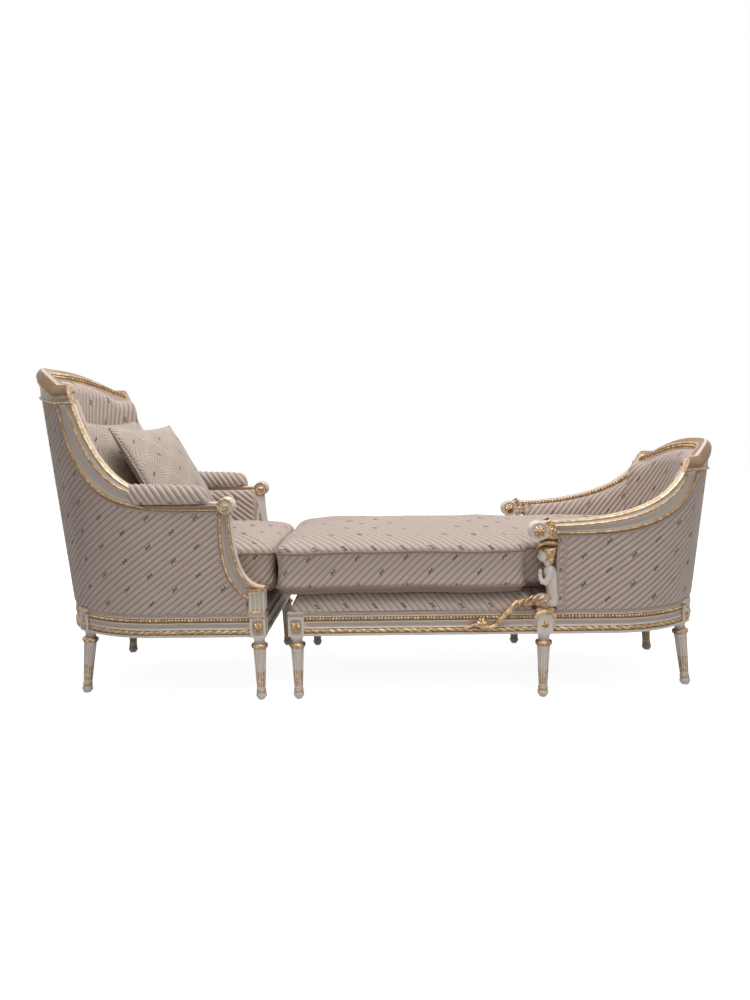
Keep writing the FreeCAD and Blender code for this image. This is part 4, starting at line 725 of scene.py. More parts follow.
def rosette(piece, centre, normal, radius, height, petals=8):
    """Carved rosette: two rings of petals, whose outlines are cosines of the angle, and a boss."""
    turn = np.linspace(0, 2 * math.pi, petals * 10 + 1)[None, :]
    share = np.linspace(1, 0, 13)[:, None]
    outline = 0.8 + 0.2 * np.abs(np.cos(petals / 2 * turn))
    inner = np.clip(1 - (share / (0.62 * (0.8 + 0.2 * np.abs(np.sin(petals / 2 * turn))))) ** 2, 0, 1)
    boss = np.clip(1 - (share / 0.26) ** 2, 0, 1)
    groove = 0.25 * np.abs(np.cos(petals / 2 * turn)) * np.sin(math.pi * share)
    rise = height * (0.45 * np.sqrt(1 - share ** 2) + groove + 0.3 * np.sqrt(inner) + 0.3 * np.sqrt(boss))
    normal = unit(np.asarray(normal, float))
    side = unit(np.cross([0, 0, 1], normal))
    up = np.cross(normal, side)
    reach = radius * share * outline
    points = (np.asarray(centre, float) + (reach * np.cos(turn))[..., None] * side
              + (reach * np.sin(turn))[..., None] * up + rise[..., None] * normal)
    piece.grid(points, slot=1)


# Seat rails

# offset outwards and height: fillet, cove for the rope, band between two coves, bed for the beads, top
RAIL_SECTION = [(-RAIL_DEPTH, LEG_HEIGHT), (3.2, LEG_HEIGHT), (4, 212), (4, 218), (3, 219), (-3, 220),
                (-4, 227), (-3, 234), (1.5, 235), (2, 237), (0, 239), (-2, 242), (-2, 253), (0.5, 256),
                (1.8, 257), (1.8, 258.5), (-2, 259.5), (-2.5, 266), (-2, 272), (0, 273), (0, 275.5),
                (-3, 277), (-3, RAIL_TOP), (-RAIL_DEPTH, RAIL_TOP)]
BEAD_LEVEL = 266
ROPE_LEVEL = 227


def rail(node, seat, path, outward):
    """Length of seat rail with its gilded rope below and row of beads above."""
    piece = Piece(node, [IVORY, GOLD, SHADED_GOLD])
    section = carried(path, outward, RAIL_SECTION + RAIL_SECTION[:1])
    levels = np.array(RAIL_SECTION)[:, 1]
    # painted shade: the gilded bands behind the beads and the rope get the darker gold
    gilded = (levels > 258) & (levels < 271.5) | (levels > 219.5) & (levels < 233.5)
    piece.grid(section, slot=2 * gilded.astype(int)).lid(section[0, :-1]).lid(section[-1, :-1])
    rope(piece, path - outward * 2, outward, ROPE_LEVEL, 6.8, 27)
    beads = path - outward * 2.3
    beads[:, 2] = BEAD_LEVEL
    bead_row(piece, beads, outward, 10.4, 5.2, 5.4)
    piece.make(seat.name, "painted_wood", [node])


def seat_rails(seat):
    """All rails of a seat, between its leg blocks."""
    half = BLOCK / 2
    rear = np.interp(seat.rear_angle, seat.turns, seat.arc)
    whole = seat.arc[-1] + seat.straight
    stop = whole - MIDDLE_LEG if "middle" in seat.legs else rear
    spans = [("_back_rail", half - rear, rear - half)]
    for side_name, side in SIDES:
        spans.append(("_side_rail_" + side_name, side * (stop + half), side * (whole - BLOCK)))
        if "middle" in seat.legs:
            spans.append(("_arm_side_rail_" + side_name, side * (rear + half), side * (stop - half)))
    for ending, first, last in spans:
        path, outward = seat.spots(np.linspace(first, last, max(int(abs(last - first) / 9), 2)))
        rail(seat.name + ending, seat, path, outward)
    reach = seat.half_width + BLOCK_PROUD - BLOCK
    path = seat.at(5, np.linspace(-reach, reach, 3), RAIL_TOP)
    rail(seat.name + "_end_rail", seat, path, np.tile([-seat.facing, 0.0, 0.0], (3, 1)))


# Legs

# height and radius: sole, toe and collar below the shaft; ring and hollow neck above it
LEG_FOOT = [(0, 0), (0, 9.5), (1.5, 11), (9, 15.6), (11, 16.8), (19, 17), (21, 15.6), (22.5, 13.6),
            (25, 13.4), (26.5, 15.2), (30, 15.6), (33, 15.2), (34.5, 13.6), (38, 13.8)]
LEG_HEAD = [(168, 20.4), (171, 20.6), (172, 23), (174.5, 25.3), (177, 26.4), (180, 26.5), (183, 26.3),
            (185.5, 25), (187, 22), (188.5, 18.6), (192, 17), (198, 17.2), (204, 19.4), (208, 21.4),
            (LEG_HEIGHT, 22.4), (LEG_HEIGHT, 0)]
FLUTES = 12
# a raked leg is this much longer than an upright one
RAKED_LENGTH = 1.016


def leg(node, seat, centre, normal, raked, panel_faces):
    """Square block with carved panels on a turned and fluted leg; the lower third of each flute is filled
    and gilded. The flutes' depth is a half round of the angle, and their upper ends are arched."""
    piece = Piece(node, [IVORY, GOLD])
    normal = np.asarray(normal, float)
    side = np.array([-normal[1], normal[0], 0])
    shaft = np.linspace(39, 167, 65)
    taper = np.interp(shaft, (LEG_FOOT[-1][0], LEG_HEAD[0][0]), (LEG_FOOT[-1][1], LEG_HEAD[0][1]))
    profile = np.concatenate([LEG_FOOT, np.stack([shaft, taper], -1), LEG_HEAD])
    z, radius = profile[:, :1], profile[:, 1:]
    turn = np.linspace(0, 2 * math.pi, FLUTES * 12 + 1)[None, :]
    from_middle = np.abs((turn * FLUTES / (2 * math.pi)) % 1 - 0.5) / 0.34
    from_end = np.minimum((z - 41) / 4, (160 - z) / 5)
    arch = np.sqrt(1 - np.clip(1 - from_end, 0, 1) ** 2)
    inside = from_middle < arch
    hollow = np.sqrt(np.clip(1 - (from_middle / np.maximum(arch, 0.05)) ** 2, 0, 1)) * inside
    filled = z < 98
    reach = radius - hollow * np.where(filled, 1.0, 2.2)
    leaf = inside[:-1, :-1] & inside[1:, 1:] & filled[1:]
    ring = (z[:-1] > 171.5) & (z[:-1] < 186) | (z[:-1] > 25.5) & (z[:-1] < 33)
    if raked:
        z = LEG_HEIGHT - (LEG_HEIGHT - z) * RAKED_LENGTH
    points = np.stack([reach * np.cos(turn), reach * np.sin(turn), z - LEG_HEIGHT + 0 * turn], -1)
    if raked:
        # local X looks along the block's normal, and the foot swings out that way
        sine, cosine = math.sin(math.radians(REAR_RAKE)), math.cos(math.radians(REAR_RAKE))
        x, y, below = np.moveaxis(points, -1, 0)
        points = np.stack([x * cosine - below * sine, y, x * sine + below * cosine], -1)
    points = (centre + points[..., :1] * normal + points[..., 1:2] * side
              + (points[..., 2:] + LEG_HEIGHT) * np.array([0, 0, 1]))
    points[..., 2] = np.maximum(points[..., 2], 0)
    piece.grid(points, slot=(leaf | ring).astype(int))

    half, tall = BLOCK / 2, RAIL_TOP - LEG_HEIGHT
    lined = "_end_leg" not in node and "_middle_leg" not in node
    across = np.array([0, 6.5, 8.5, 25, 41.5, 43.5, 50])
    upward = np.array([0, 5.5, 7.5, 30, 54.5, 56.5, 60, 62, 65, 68, 70, 78])

    def panel(x, y):
        """Sunk panel, and on lined blocks a bead above it."""
        bead = 1.6 * np.sqrt(np.clip(1 - ((y - 65) / 4.5) ** 2, 0, 1)) * lined
        return bead - PANEL_DEPTH * ((x > 7) & (x < 43) & (y > 6) & (y < 56))

    base = centre + np.array([0, 0, LEG_HEIGHT])
    faces = [(normal, side), (side, -normal), (-normal, -side), (-side, normal)]
    for number, (out, right) in enumerate(faces):
        carved = number in panel_faces
        height = panel if carved else (lambda x, y: 0 * x)
        slot = ((upward[:-1] > 59) & (upward[:-1] < 68) & lined & carved).astype(int)[:, None]
        relief(piece, base + (out - right) * half, right, out, across, upward, height, slot)
    corners = [base + a * half * normal + b * half * side for a, b in ((1, 1), (1, -1), (-1, -1), (-1, 1))]
    piece.lid(corners).lid([corner + np.array([0, 0, tall]) for corner in corners])
    piece.make(seat.name, "painted_wood", [node])


def all_legs(seat):
    """Legs of a seat, each turned as its block is, and the rosettes on their blocks."""
    flowers = Piece(seat.name + "_rosettes", [IVORY, GOLD])
    for side_name, side in SIDES:
        outward = np.array([0.0, side, 0.0])
        # the face that looks along the seat, away from its back, is carved on corner blocks
        end_face = 1 if seat.facing * side > 0 else 3
        for name, u in seat.legs.items():
            centre = seat.at(u, side * (seat.half_width + BLOCK_PROUD - BLOCK / 2), 0)
            leg(f"{seat.name}_{name}_leg_{side_name}", seat, centre, outward, False,
                (0, end_face) if u < BLOCK else ())
            spot = centre + outward * (BLOCK / 2 - PANEL_DEPTH) + [0, 0, FLOWER_HEIGHT]
            rosette(flowers, spot, outward, FLOWER_RADIUS, 8)
        sine, cosine = math.sin(seat.rear_angle), math.cos(seat.rear_angle)
        normal = unit(np.array([seat.facing * cosine / seat.end_depth, side * sine / seat.half_width, 0]))
        edge = seat.at(seat.straight + seat.end_depth * cosine, side * seat.half_width * sine, 0)
        centre = edge - normal * (BLOCK / 2 - BLOCK_PROUD)
        leg(f"{seat.name}_rear_leg_{side_name}", seat, centre, normal, True, (0, 1, 3))
        spot = centre + normal * (BLOCK / 2 - PANEL_DEPTH) + [0, 0, FLOWER_HEIGHT]
        rosette(flowers, spot, normal, FLOWER_RADIUS, 6.5)
    flowers.make(seat.name, "gilding", [seat.name + "_rosettes"])


# Arm rails, scrolls and crests

# anchor across the band (0 at its lower edge, 1 at its upper), shift in mm, inset from the cloth's face, and
# finish: 0 ivory, 1 gold, 2 darker gold that paints shade in hollows
ARM_COLUMNS = [(0, 0, 36, 0), (0, 0, -1, 2), (0.03, 0, -4, 1), (0.09, 0, -6.5, 1), (0.15, 0, -5.5, 2),
               (0.18, 0, -2.5, 0), (0.3, 0, 0.5, 0), (0.5, 0, 0.5, 0), (0.6, 0, -2.5, 2), (0.63, 0, -5.5, 1),
               (0.68, 0, -6.5, 1), (0.72, 0, -5, 2), (0.74, 0, -3, 0), (0.86, 0, 0.5, 0), (0.88, 0, -0.5, 1),
               (0.94, 0, -0.5, 1), (1, 0, 4, 1), (1, 0.8, 9, 0), (1, 0.8, 24, 0), (1, 0.6, 25, 1),
               (1, 1.6, 29, 1), (1, 0.6, 33, 0), (1, -3, 36, 2), (1, -5, 36.5, 2), (1, -17, 36.5, 1),
               (1, -20, 36, 0)]
CONSOLE_COLUMNS = [(0, 0, 36, 0), (0, 0, -3, 2), (0, 1.5, -6.5, 1), (0, 5, -7.5, 1), (0, 8, -6, 2),
                   (0, 9, -3, 0), (0.5, 0, 0, 0), (1, -9, -3, 2), (1, -8, -6, 1), (1, -5, -7.5, 1),
                   (1, -1.5, -6.5, 2), (1, 0, -3, 0), (1, 0.8, 4, 0), (1, 0.8, 30, 0)]
CREST_COLUMNS = [(0, 0, 36, 0), (0, 0, -4, 1), (0, 2, -8, 1), (0, 5, -9.5, 1), (0, 8, -8, 2), (0, 10, -5, 0),
                 (0.5, -16, -3, 0), (1, -44, -5, 0), (1, -43, -8, 1), (1, -39, -9, 1), (1, -37, -7, 2),
                 (1, -30, -9, 2), (1, -20, -8, 2), (1, -10, -2, 2), (1, -5, 4, 2), (1, -1, 8, 0),
                 (1, 0.6, 12, 0), (1, 0.4, 17, 2), (1, -2, 21, 2), (1, -6, 27, 2), (1, -12, 33, 1),
                 (1, -15, 36, 1), (1, -18, 38.5, 1), (1, -20, 37, 2), (1, -33, 37, 1), (1, -36, 37.5, 0),
                 (1, -38, 36, 0)]
# place in u and z, and radius, of the scrolls
SCROLLS = {"armchair": (110, 633, 27), "foot_seat": (790, 541, 30)}


def between(path, low, high, count):
    """Points of an outline between two values of u, evenly spaced in length."""
    far = lengths(path)
    spots = np.linspace(*np.interp([low, high], path[:, 0], far), count)
    return np.stack([np.interp(spots, far, column) for column in path.T], -1)


def arm_outlines(seat):
    """Matching points of an arm rail's lower and upper outlines, front to back."""
    if seat is chair:
        low = np.concatenate([[(110, 619)], CHAIR_LOW])
        high = np.concatenate([[(110, 643), (388, 643)], CHAIR_TOP])
        end = np.interp(955, CHAIR_TOP[:, 1], CHAIR_TOP[:, 0])
        spans = [(110, 352, 110, 388, 50), (352, 386, 388, 412, 12), (386, 662, 412, end, 70)]
    else:
        low = np.concatenate([[(790, 529)], FOOT_LOW])
        high = FOOT_TOP
        spans = [(790, 1322, 790, np.interp(712, FOOT_TOP[:, 1], FOOT_TOP[:, 0]), 110)]
    lows = [between(low, a, b, count) for a, b, _, _, count in spans]
    highs = [between(high, a, b, count) for _, _, a, b, count in spans]
    return np.concatenate(lows), np.concatenate(highs)


def carved_disc(piece, middle, radius, flip, out, base, spiral):
    """Face of a scroll: a raised rim, and either a spiral that runs in to an oval boss or a plain field."""
    turn = np.linspace(0, 2 * math.pi, 73)[None, :]
    share = np.linspace(1, 0, 34)[:, None]
    reach = share * (radius - 1.5)
    rim = np.clip(1 - ((reach - radius + 4.5) / 3) ** 2, 0, 1)
    if spiral:
        curl = radius * (0.84 - 0.42 * turn / (2 * math.pi))
        rim = np.maximum(rim, np.clip(1 - ((reach - curl) / 2.4) ** 2, 0, 1))
    x, z = reach * np.cos(turn), reach * np.sin(turn)
    boss = spiral * np.clip(1 - (x / (0.36 * radius)) ** 2 - (z / (0.26 * radius)) ** 2, 0, 1)
    rise = base + 2.4 * np.sqrt(rim) * (share < 1) + 5 * np.sqrt(boss)
    points = middle + np.stack(np.broadcast_arrays(flip * x, out * rise, z), -1)
    piece.grid(points, slot=(np.maximum(rim * spiral, boss) > 0.25)[:-1, :-1].astype(int))


def scroll(piece, seat, side):
    """End scroll of an arm rail: a drum that is carved on its outer and its inner face."""
    u, z, radius = SCROLLS[seat.name]
    spiral = int(seat is chair)
    turn = np.linspace(0, 2 * math.pi, 73)
    middle = seat.side_point(np.array([u], float), np.array([z], float), 0, side)[0]
    rows = []
    for depth, swell in ((-37, 0), (-35, 0.8), (-30, 0), (4, 0), (6, 0.2), (8, 1), (11, 0)):
        reach = radius - 1.5 + 1.5 * swell
        ring = [reach * np.cos(turn), 0 * turn + side * depth, reach * np.sin(turn)]
        rows.append(middle + np.stack(ring, -1))
    piece.grid(np.stack(rows), slot=np.array([spiral, 0, 0, 0, spiral, spiral])[:, None])
    carved_disc(piece, middle, radius, -seat.facing, side, 11, spiral)
    carved_disc(piece, middle, radius, -seat.facing, -side, 37, spiral)


def leaf(piece, spine, side_way, out, width):
    """Carved leaf along a spine: its edge has four lobes, it arches outwards and has a sunk mid rib."""
    share = np.linspace(0, 1, 40)[:, None]
    across = np.linspace(-1, 1, 15)[None, :]
    lobe = 4 * math.pi * share
    half = width * np.sin(math.pi * share ** 0.7) ** 0.8 * (0.72 + 0.28 * np.abs(np.sin(lobe)))
    stops = np.linspace(0, 1, len(spine))
    points = np.stack([np.interp(share[:, 0], stops, column) for column in np.array(spine).T], -1)[:, None, :]
    swell = 0.6 + 0.4 * np.abs(np.sin(lobe + across ** 2))
    rise = 5 * (1 - across ** 2) * swell - 2.5 * np.exp(-(across / 0.12) ** 2)
    points = (points + (half * across)[..., None] * np.asarray(side_way, float)
              + (rise * np.sin(math.pi * share) ** 0.5)[..., None] * out)
    piece.grid(points, slot=1)


# leaves that spring from the foot seat's scroll: spine in u and z, half width
FOLIAGE = [([(800, 562), (820, 570), (828, 574)], 9), ([(806, 556), (830, 558), (846, 548)], 11),
           ([(806, 544), (834, 542), (856, 532)], 11), ([(806, 534), (832, 528), (854, 518)], 10),
           ([(800, 526), (820, 522), (838, 517)], 7)]


def arms(seat):
    """Arm rails that sweep up to the crest, with their scrolls."""
    low, high = arm_outlines(seat)
    along_band = unit(high - low)
    for side_name, side in SIDES:
        node = f"{seat.name}_arm_rail_{side_name}"
        piece = Piece(node, [IVORY, GOLD, SHADED_GOLD])

        def place(anchor, shift, inset):
            """Line along the rail, between its outlines."""
            spot = low + (high - low) * anchor + along_band * shift
            return seat.side_point(spot[:, 0], spot[:, 1], inset, side)

        banded(piece, ARM_COLUMNS, place)
        beaded(piece, place, (1, -10.5, 36), 46, 12, 5.2, 4.6, 62 if seat is chair else 12)
        beaded(piece, place, (0.08, 0, -6), -20, 6.5, 2.5, 2.4)
        scroll(piece, seat, side)
        if seat is foot:
            u, z, _ = SCROLLS[seat.name]
            for inset, out in ((-11, side), (37, -side)):
                out = np.array([0.0, out, 0.0])
                spot = seat.side_point(np.array([u], float), np.array([z], float), inset, side)[0]
                rosette(piece, spot, out, 19, 9)
                for spine, width in FOLIAGE:
                    spine = np.array(spine, float)
                    stem = seat.side_point(spine[:, 0], spine[:, 1], inset * 0.9, side)
                    leaf(piece, stem, (0.4, 0, 0.9), out, width)
        piece.make(seat.name, "painted_wood", [node])


def crest(seat):
    """Bent and arched top rail; its ends follow the arms' upper outline."""
    over = CHAIR_TOP if seat is chair else FOOT_TOP
    level = 985 if seat is chair else 735
    share = np.linspace(-1, 1, 191)
    node = seat.name + "_crest_rail"
    piece = Piece(node, [IVORY, GOLD, SHADED_GOLD])

    def end(z, inset):
        """Length on the plan to the crest's end."""
        return seat.along(np.interp(z, over[:, 1], over[:, 0]), z, inset)

    def place(anchor, shift, inset):
        """Line along the crest; its end is found at a middling height first."""
        guess = np.full_like(share, float(level))
        y = seat.wall(share * end(guess, inset), guess, inset)[:, 1]
        z = crest_under(seat, y) * (1 - anchor) + crest_top(seat, y) * anchor + shift
        return seat.wall(share * end(z, inset), z, inset)

    banded(piece, CREST_COLUMNS, place, 1)
    beaded(piece, place, (1, -26.5, 37), 46, 12, 4.4, 4.4)
    beaded(piece, place, (0, 4.5, -8.5), -20, 7, 2.6, 2.4)
    piece.make(seat.name, "painted_wood", [node])


def arm_supports():
    """Fluted die on the front leg block, its cap, and the S-shaped support between two gilded edges."""
    low = respaced(CONSOLE_BACK, 5)[0]
    high = between(CONSOLE_FRONT, 0, 100, len(low))
    across = unit(high - low)
    for side_name, side in SIDES:
        node = "armchair_arm_support_" + side_name
        piece = Piece(node, [IVORY, GOLD, SHADED_GOLD])

        def place(anchor, shift, inset):
            """Line up the support, between its outlines."""
            spot = low + (high - low) * anchor + across * shift
            return chair.side_point(spot[:, 0], spot[:, 1], inset, side)

        banded(piece, CONSOLE_COLUMNS, place)
        for anchor, shift in ((0, 4), (1, -4)):
            beaded(piece, place, (anchor, shift, -7), -20, 7, 2.6, 2)
        centre = chair.at(BLOCK / 2, side * (chair.half_width + BLOCK_PROUD - BLOCK / 2), RAIL_TOP)
        stacked_squares(piece, centre, [(RAIL_TOP, 27), (291, 28.5), (294, 28), (296.5, 25.5)])
        stacked_squares(piece, centre, [(357, 25.5), (359, 29), (362, 30), (364, 33), (368, 33), (369, 31)])
        grid_x = np.linspace(0, BLOCK, 37)
        grid_z = np.concatenate([[0, 5, 6], np.linspace(7, 64, 16), [65, 71]])

        def flutes(x, z):
            """Three flutes, 13 mm apart: half rounds 3 mm deep."""
            middle = np.abs((x - 5.5) % 13 - 6.5)
            inside = (x > 5.5) & (x < 44.5) & (z > 6) & (z < 65)
            return -3 * np.sqrt(np.clip(1 - (middle / 4.6) ** 2, 0, 1)) * inside

        outward, facing = np.array([0.0, side, 0.0]), np.array([1.0, 0.0, 0.0])
        for out, right in ((outward, facing), (facing, outward), (-outward, -facing), (-facing, -outward)):
            relief(piece, centre + (out - right) * BLOCK / 2, right, out, grid_x, grid_z, flutes)
        piece.make("armchair", "painted_wood", [node])


# Braid along the edges of the cloth

BRAID_LEVEL = 283.5


def wall_path(seat, along, z):
    """Points on the outside cloth and their outward normals."""
    points = seat.wall(along, z)
    across = seat.wall(along + 1, z) - seat.wall(along - 1, z)
    upward = seat.wall(along, z + 1) - seat.wall(along, z - 1)
    normals = unit(np.cross(across, upward)) * seat.facing
    return points, normals


def half_round(path, normals, half_width, height, lift):
    """Grid of a half-round strip: an arc across the path, raised along the normals from a lift."""
    across = unit(np.cross(normals, unit(np.gradient(path, axis=0))))
    turn = np.linspace(0, math.pi, 9)
    return (path[:, None] + across[:, None] * (half_width * np.cos(turn))[:, None]
            + normals[:, None] * (height * np.sin(turn) + lift)[:, None])


def braid_strip(piece, path, normals, wide=10, thick=3, lift=-0.3):
    """Braid along a path; its cloth coordinates are the length along and across it."""
    path, normals = respaced(path, 4, normals)
    around = wide * np.linspace(0, math.pi, 9)[None, :] / 3
    uv = np.stack(np.broadcast_arrays(lengths(path)[:, None], around), -1)
    piece.grid(half_round(path, normals, wide / 2, thick, lift), uv)


def braids(seat):
    """Braid round the outside cloth: along the rails, up the front edges, under the arms and the crest."""
    node = seat.name + "_braid"
    piece = Piece(node, [BRAID])
    low = CHAIR_LOW if seat is chair else FOOT_LOW
    start = 60 if seat is chair else BLOCK
    reach = seat.along(float(start))
    along = np.linspace(-reach, reach, 300)
    points, normals = wall_path(seat, along, np.full(300, BRAID_LEVEL))
    normals[:, 2] = 0
    braid_strip(piece, points - unit(normals) * 2.6, unit(normals), 11, 3.4)
    if seat is foot:
        # across the free end and round the tops of its two leg blocks
        reach = foot.half_width + BLOCK_PROUD
        corner = np.array([(BLOCK + 1, reach), (8, reach), (2, reach), (0, reach - 2), (0, reach - 8),
                           (0, reach - BLOCK - 1)], float)
        facing = unit(np.array([(0, 1), (0, 1), (-0.5, 0.8), (-0.8, 0.5), (-1, 0), (-1, 0)], float))
        for _, side in SIDES:
            points = foot.at(corner[:, 0], side * corner[:, 1], 281.5)
            normals = np.stack([foot.facing * facing[:, 0], side * facing[:, 1], 0 * facing[:, 0]], -1)
            braid_strip(piece, points, normals, 12, 3.2)
        inner = reach - BLOCK
        points = foot.at(7.5, np.linspace(-inner, inner, 60), BRAID_LEVEL)
        braid_strip(piece, points, np.tile([-foot.facing, 0.0, 0.0], (60, 1)), 11, 3.4)
    for _, side in SIDES:
        edge = low + np.array([0.0, -5.0])
        if seat is chair:
            edge = np.concatenate([[(60, 296)], CONSOLE_BACK[2:] + np.array([5.0, 0.0]), edge])
        else:
            edge = np.concatenate([[(FOOT_CLOTH_FRONT + 5, 292), (FOOT_CLOTH_FRONT + 5, 524)], edge])
        points, normals = wall_path(seat, side * seat.along(edge[:, 0], edge[:, 1]), edge[:, 1])
        braid_strip(piece, points, normals)
        if seat is foot:
            line = np.array([(FOOT_CLOTH_FRONT + 24, 292), (FOOT_CLOTH_FRONT + 24, 520)], float)
            points, normals = wall_path(seat, side * seat.along(line[:, 0], line[:, 1]), line[:, 1])
            braid_strip(piece, points, normals, lift=2.3)
    end = seat.along(low[-1, 0], low[-1, 1])
    along = np.linspace(-end, end, 200)
    y = seat.wall(along, np.full(200, low[-1, 1]))[:, 1]
    points, normals = wall_path(seat, along, crest_under(seat, y) - 5)
    braid_strip(piece, points, normals)
    piece.make(seat.name, "braid", [node])


# Cushions

# how far a cushion's underside bulges below its lower welt
UNDERSIDE = 22


def half_outline(front, sides, narrow, straight, depth, corner, shoulder):
    """Half outline of a cushion in u and y, from the middle of its front edge to the middle of its end: front
    corners are rounded, and so are the shoulders where it narrows between the arms."""
    bend = np.linspace(0, math.pi / 2, 9)
    turn = np.linspace(math.pi / 2, 0, 60)
    step = 0.8 * corner
    parts = [[[front], [0]],
             [front + corner * (1 - np.cos(bend)), sides - corner * (1 - np.sin(bend))],
             [shoulder + step * np.sin(bend), sides - 0.6 * (sides - narrow) * (1 - np.cos(bend))],
             [[shoulder + step + 1], [narrow]],
             [straight + depth * np.cos(turn), narrow * np.sin(turn)]]
    return respaced(np.concatenate([np.stack(part, -1) for part in parts]), 6.0)[0]


def whole_outline(half):
    """Half outline and its mirror image, as one closed path."""
    return np.concatenate([half, (half * [1, -1])[::-1][1:]])


def nearest(points, outline):
    """Distance from each point to the outline."""
    flat = points.reshape(-1, 2)
    found = [np.min(np.linalg.norm(part[:, None] - outline[None], axis=-1), 1)
             for part in np.array_split(flat, 40)]
    return np.concatenate(found).reshape(points.shape[:-1])


def top_sheet(outline, spine, rows):
    """Grid from an outline in to a spine on the middle line, with the distance to the outline."""
    inner = np.stack([np.clip(outline[:, 0], *spine), 0 * outline[:, 1]], -1)
    share = np.linspace(0, 1, rows)[:, None, None] ** 1.15
    plan = outline + (inner - outline) * share
    return plan, nearest(plan, outline)


def uneven(points):
    """Slight unevenness of a stuffed piece, as long waves in plan."""
    x, y = points[..., 0], points[..., 1]
    wave = 1.6 * np.sin(x / 97 + y / 61) + 1.1 * np.sin(x / 43 - y / 83)
    return points + np.stack([0 * x, 0 * x, wave], -1)


def ribbed_sheet(piece, seat, plan, z, near, low_slope, angle=CUSHION_ANGLE):
    """Grid of cloth over a plan, its threads running across the seat; ribs stand on the surface's normal."""
    points = seat.at(plan[..., 0], plan[..., 1], z)
    cloth = np.stack([-plan[..., 1] + np.sign(plan[..., 1]) * low_slope, seat.facing * plan[..., 0]], -1)
    normals = grid_normals(points)
    normals *= np.sign(normals[..., 2:] + 1e-6)
    points = points + normals * (ribs(cloth, angle) * smooth(near / 9))[..., None]
    piece.grid(uneven(points), cloth)


def seat_cushion(node, body, seat, front, sides, shoulder, welt, crown, corner):
    """Boxed cushion: crowned top, border drawn in between two welts, slightly rounded underside."""
    low = RAIL_TOP + DECK_RISE + 0.4
    bottom = low + UNDERSIDE
    depth, width = seat.radii(low)
    depth, narrow = depth - BACK_WALL - 4, width - SIDE_WALL - 4
    half = half_outline(-front, sides, narrow, seat.straight, depth, corner, shoulder)
    outline = whole_outline(half)
    spine = (-front + 0.85 * sides, seat.straight + depth - 0.8 * narrow)
    piece = Piece(node, [RIBBED_CUSHION, WELT])
    plan, near = top_sheet(outline, spine, 62)
    rise = crown * np.sqrt(1 - (1 - np.clip(near / sides, 0, 1)) ** 2)
    slope = np.sqrt(near ** 2 + rise ** 2) - near
    ribbed_sheet(piece, seat, plan, welt + rise, near, slope)
    plan, near = top_sheet(outline, spine, 30)
    underside = bottom - UNDERSIDE * np.sqrt(1 - (1 - np.clip(near / UNDERSIDE, 0, 1)) ** 2)
    points = seat.at(plan[..., 0], plan[..., 1], underside)
    piece.grid(uneven(points), plan, 1)

    ahead = closed_steps(outline)
    outward = np.stack([ahead[:, 1], -ahead[:, 0]], -1)
    outward *= np.sign(np.sum(outward * (outline - [seat.straight / 2, 0]), -1, keepdims=True))
    share = np.linspace(0, 1, 26)[:, None]
    z = bottom + share * (welt - bottom)
    cloth = np.stack(np.broadcast_arrays(-seat.facing * lengths(outline)[None, :], z), -1)
    fade = np.minimum(smooth(share / 0.1), smooth((1 - share) / 0.1))
    shift = ribs(cloth, CUSHION_ANGLE) * fade - 8 * np.sin(math.pi * share) ** 0.8
    flat = outline[None] + outward[None] * shift[..., None]
    points = seat.at(flat[..., 0], flat[..., 1], z)
    piece.grid(uneven(points), cloth)
    for level, radius in ((welt, 3.6), (bottom, 4.4)):
        cord(piece, uneven(seat.at(*(outline + outward * 2).T, level)), radius, 1)
    piece.make(body, "ribbed_cloth", [node])


def deck(seat):
    """Stuffed deck on the webbing; its free edges slope up from the rails."""
    node = seat.name + "_deck"
    depth, narrow = seat.radii(float(RAIL_TOP))
    depth, narrow = depth - BACK_WALL - 0.4, narrow - SIDE_WALL - 0.4
    sides = narrow if seat is chair else seat.half_width
    shoulder = 109 if seat is chair else 763
    outline = whole_outline(half_outline(5, sides, narrow, seat.straight, depth, 20, shoulder))
    piece = Piece(node, [RIBBED])
    plan, near = top_sheet(outline, (0.85 * sides, seat.straight + depth - 0.8 * narrow), 70)
    rise = DECK_RISE * np.sin(math.pi / 2 * np.clip(near / DECK_SLOPE, 0, 1)) ** 0.9
    slope = np.sqrt(near ** 2 + rise ** 2) - near
    ribbed_sheet(piece, seat, plan, RAIL_TOP + rise, near, slope, angle=RIB_ANGLE)
    points = seat.at(plan[..., 0], plan[..., 1], np.full(plan.shape[:2], RAIL_TOP + 2.0))
    piece.grid(points[[0, -1]], plan[[0, -1]])
    piece.make(seat.name, "ribbed_cloth", [node])


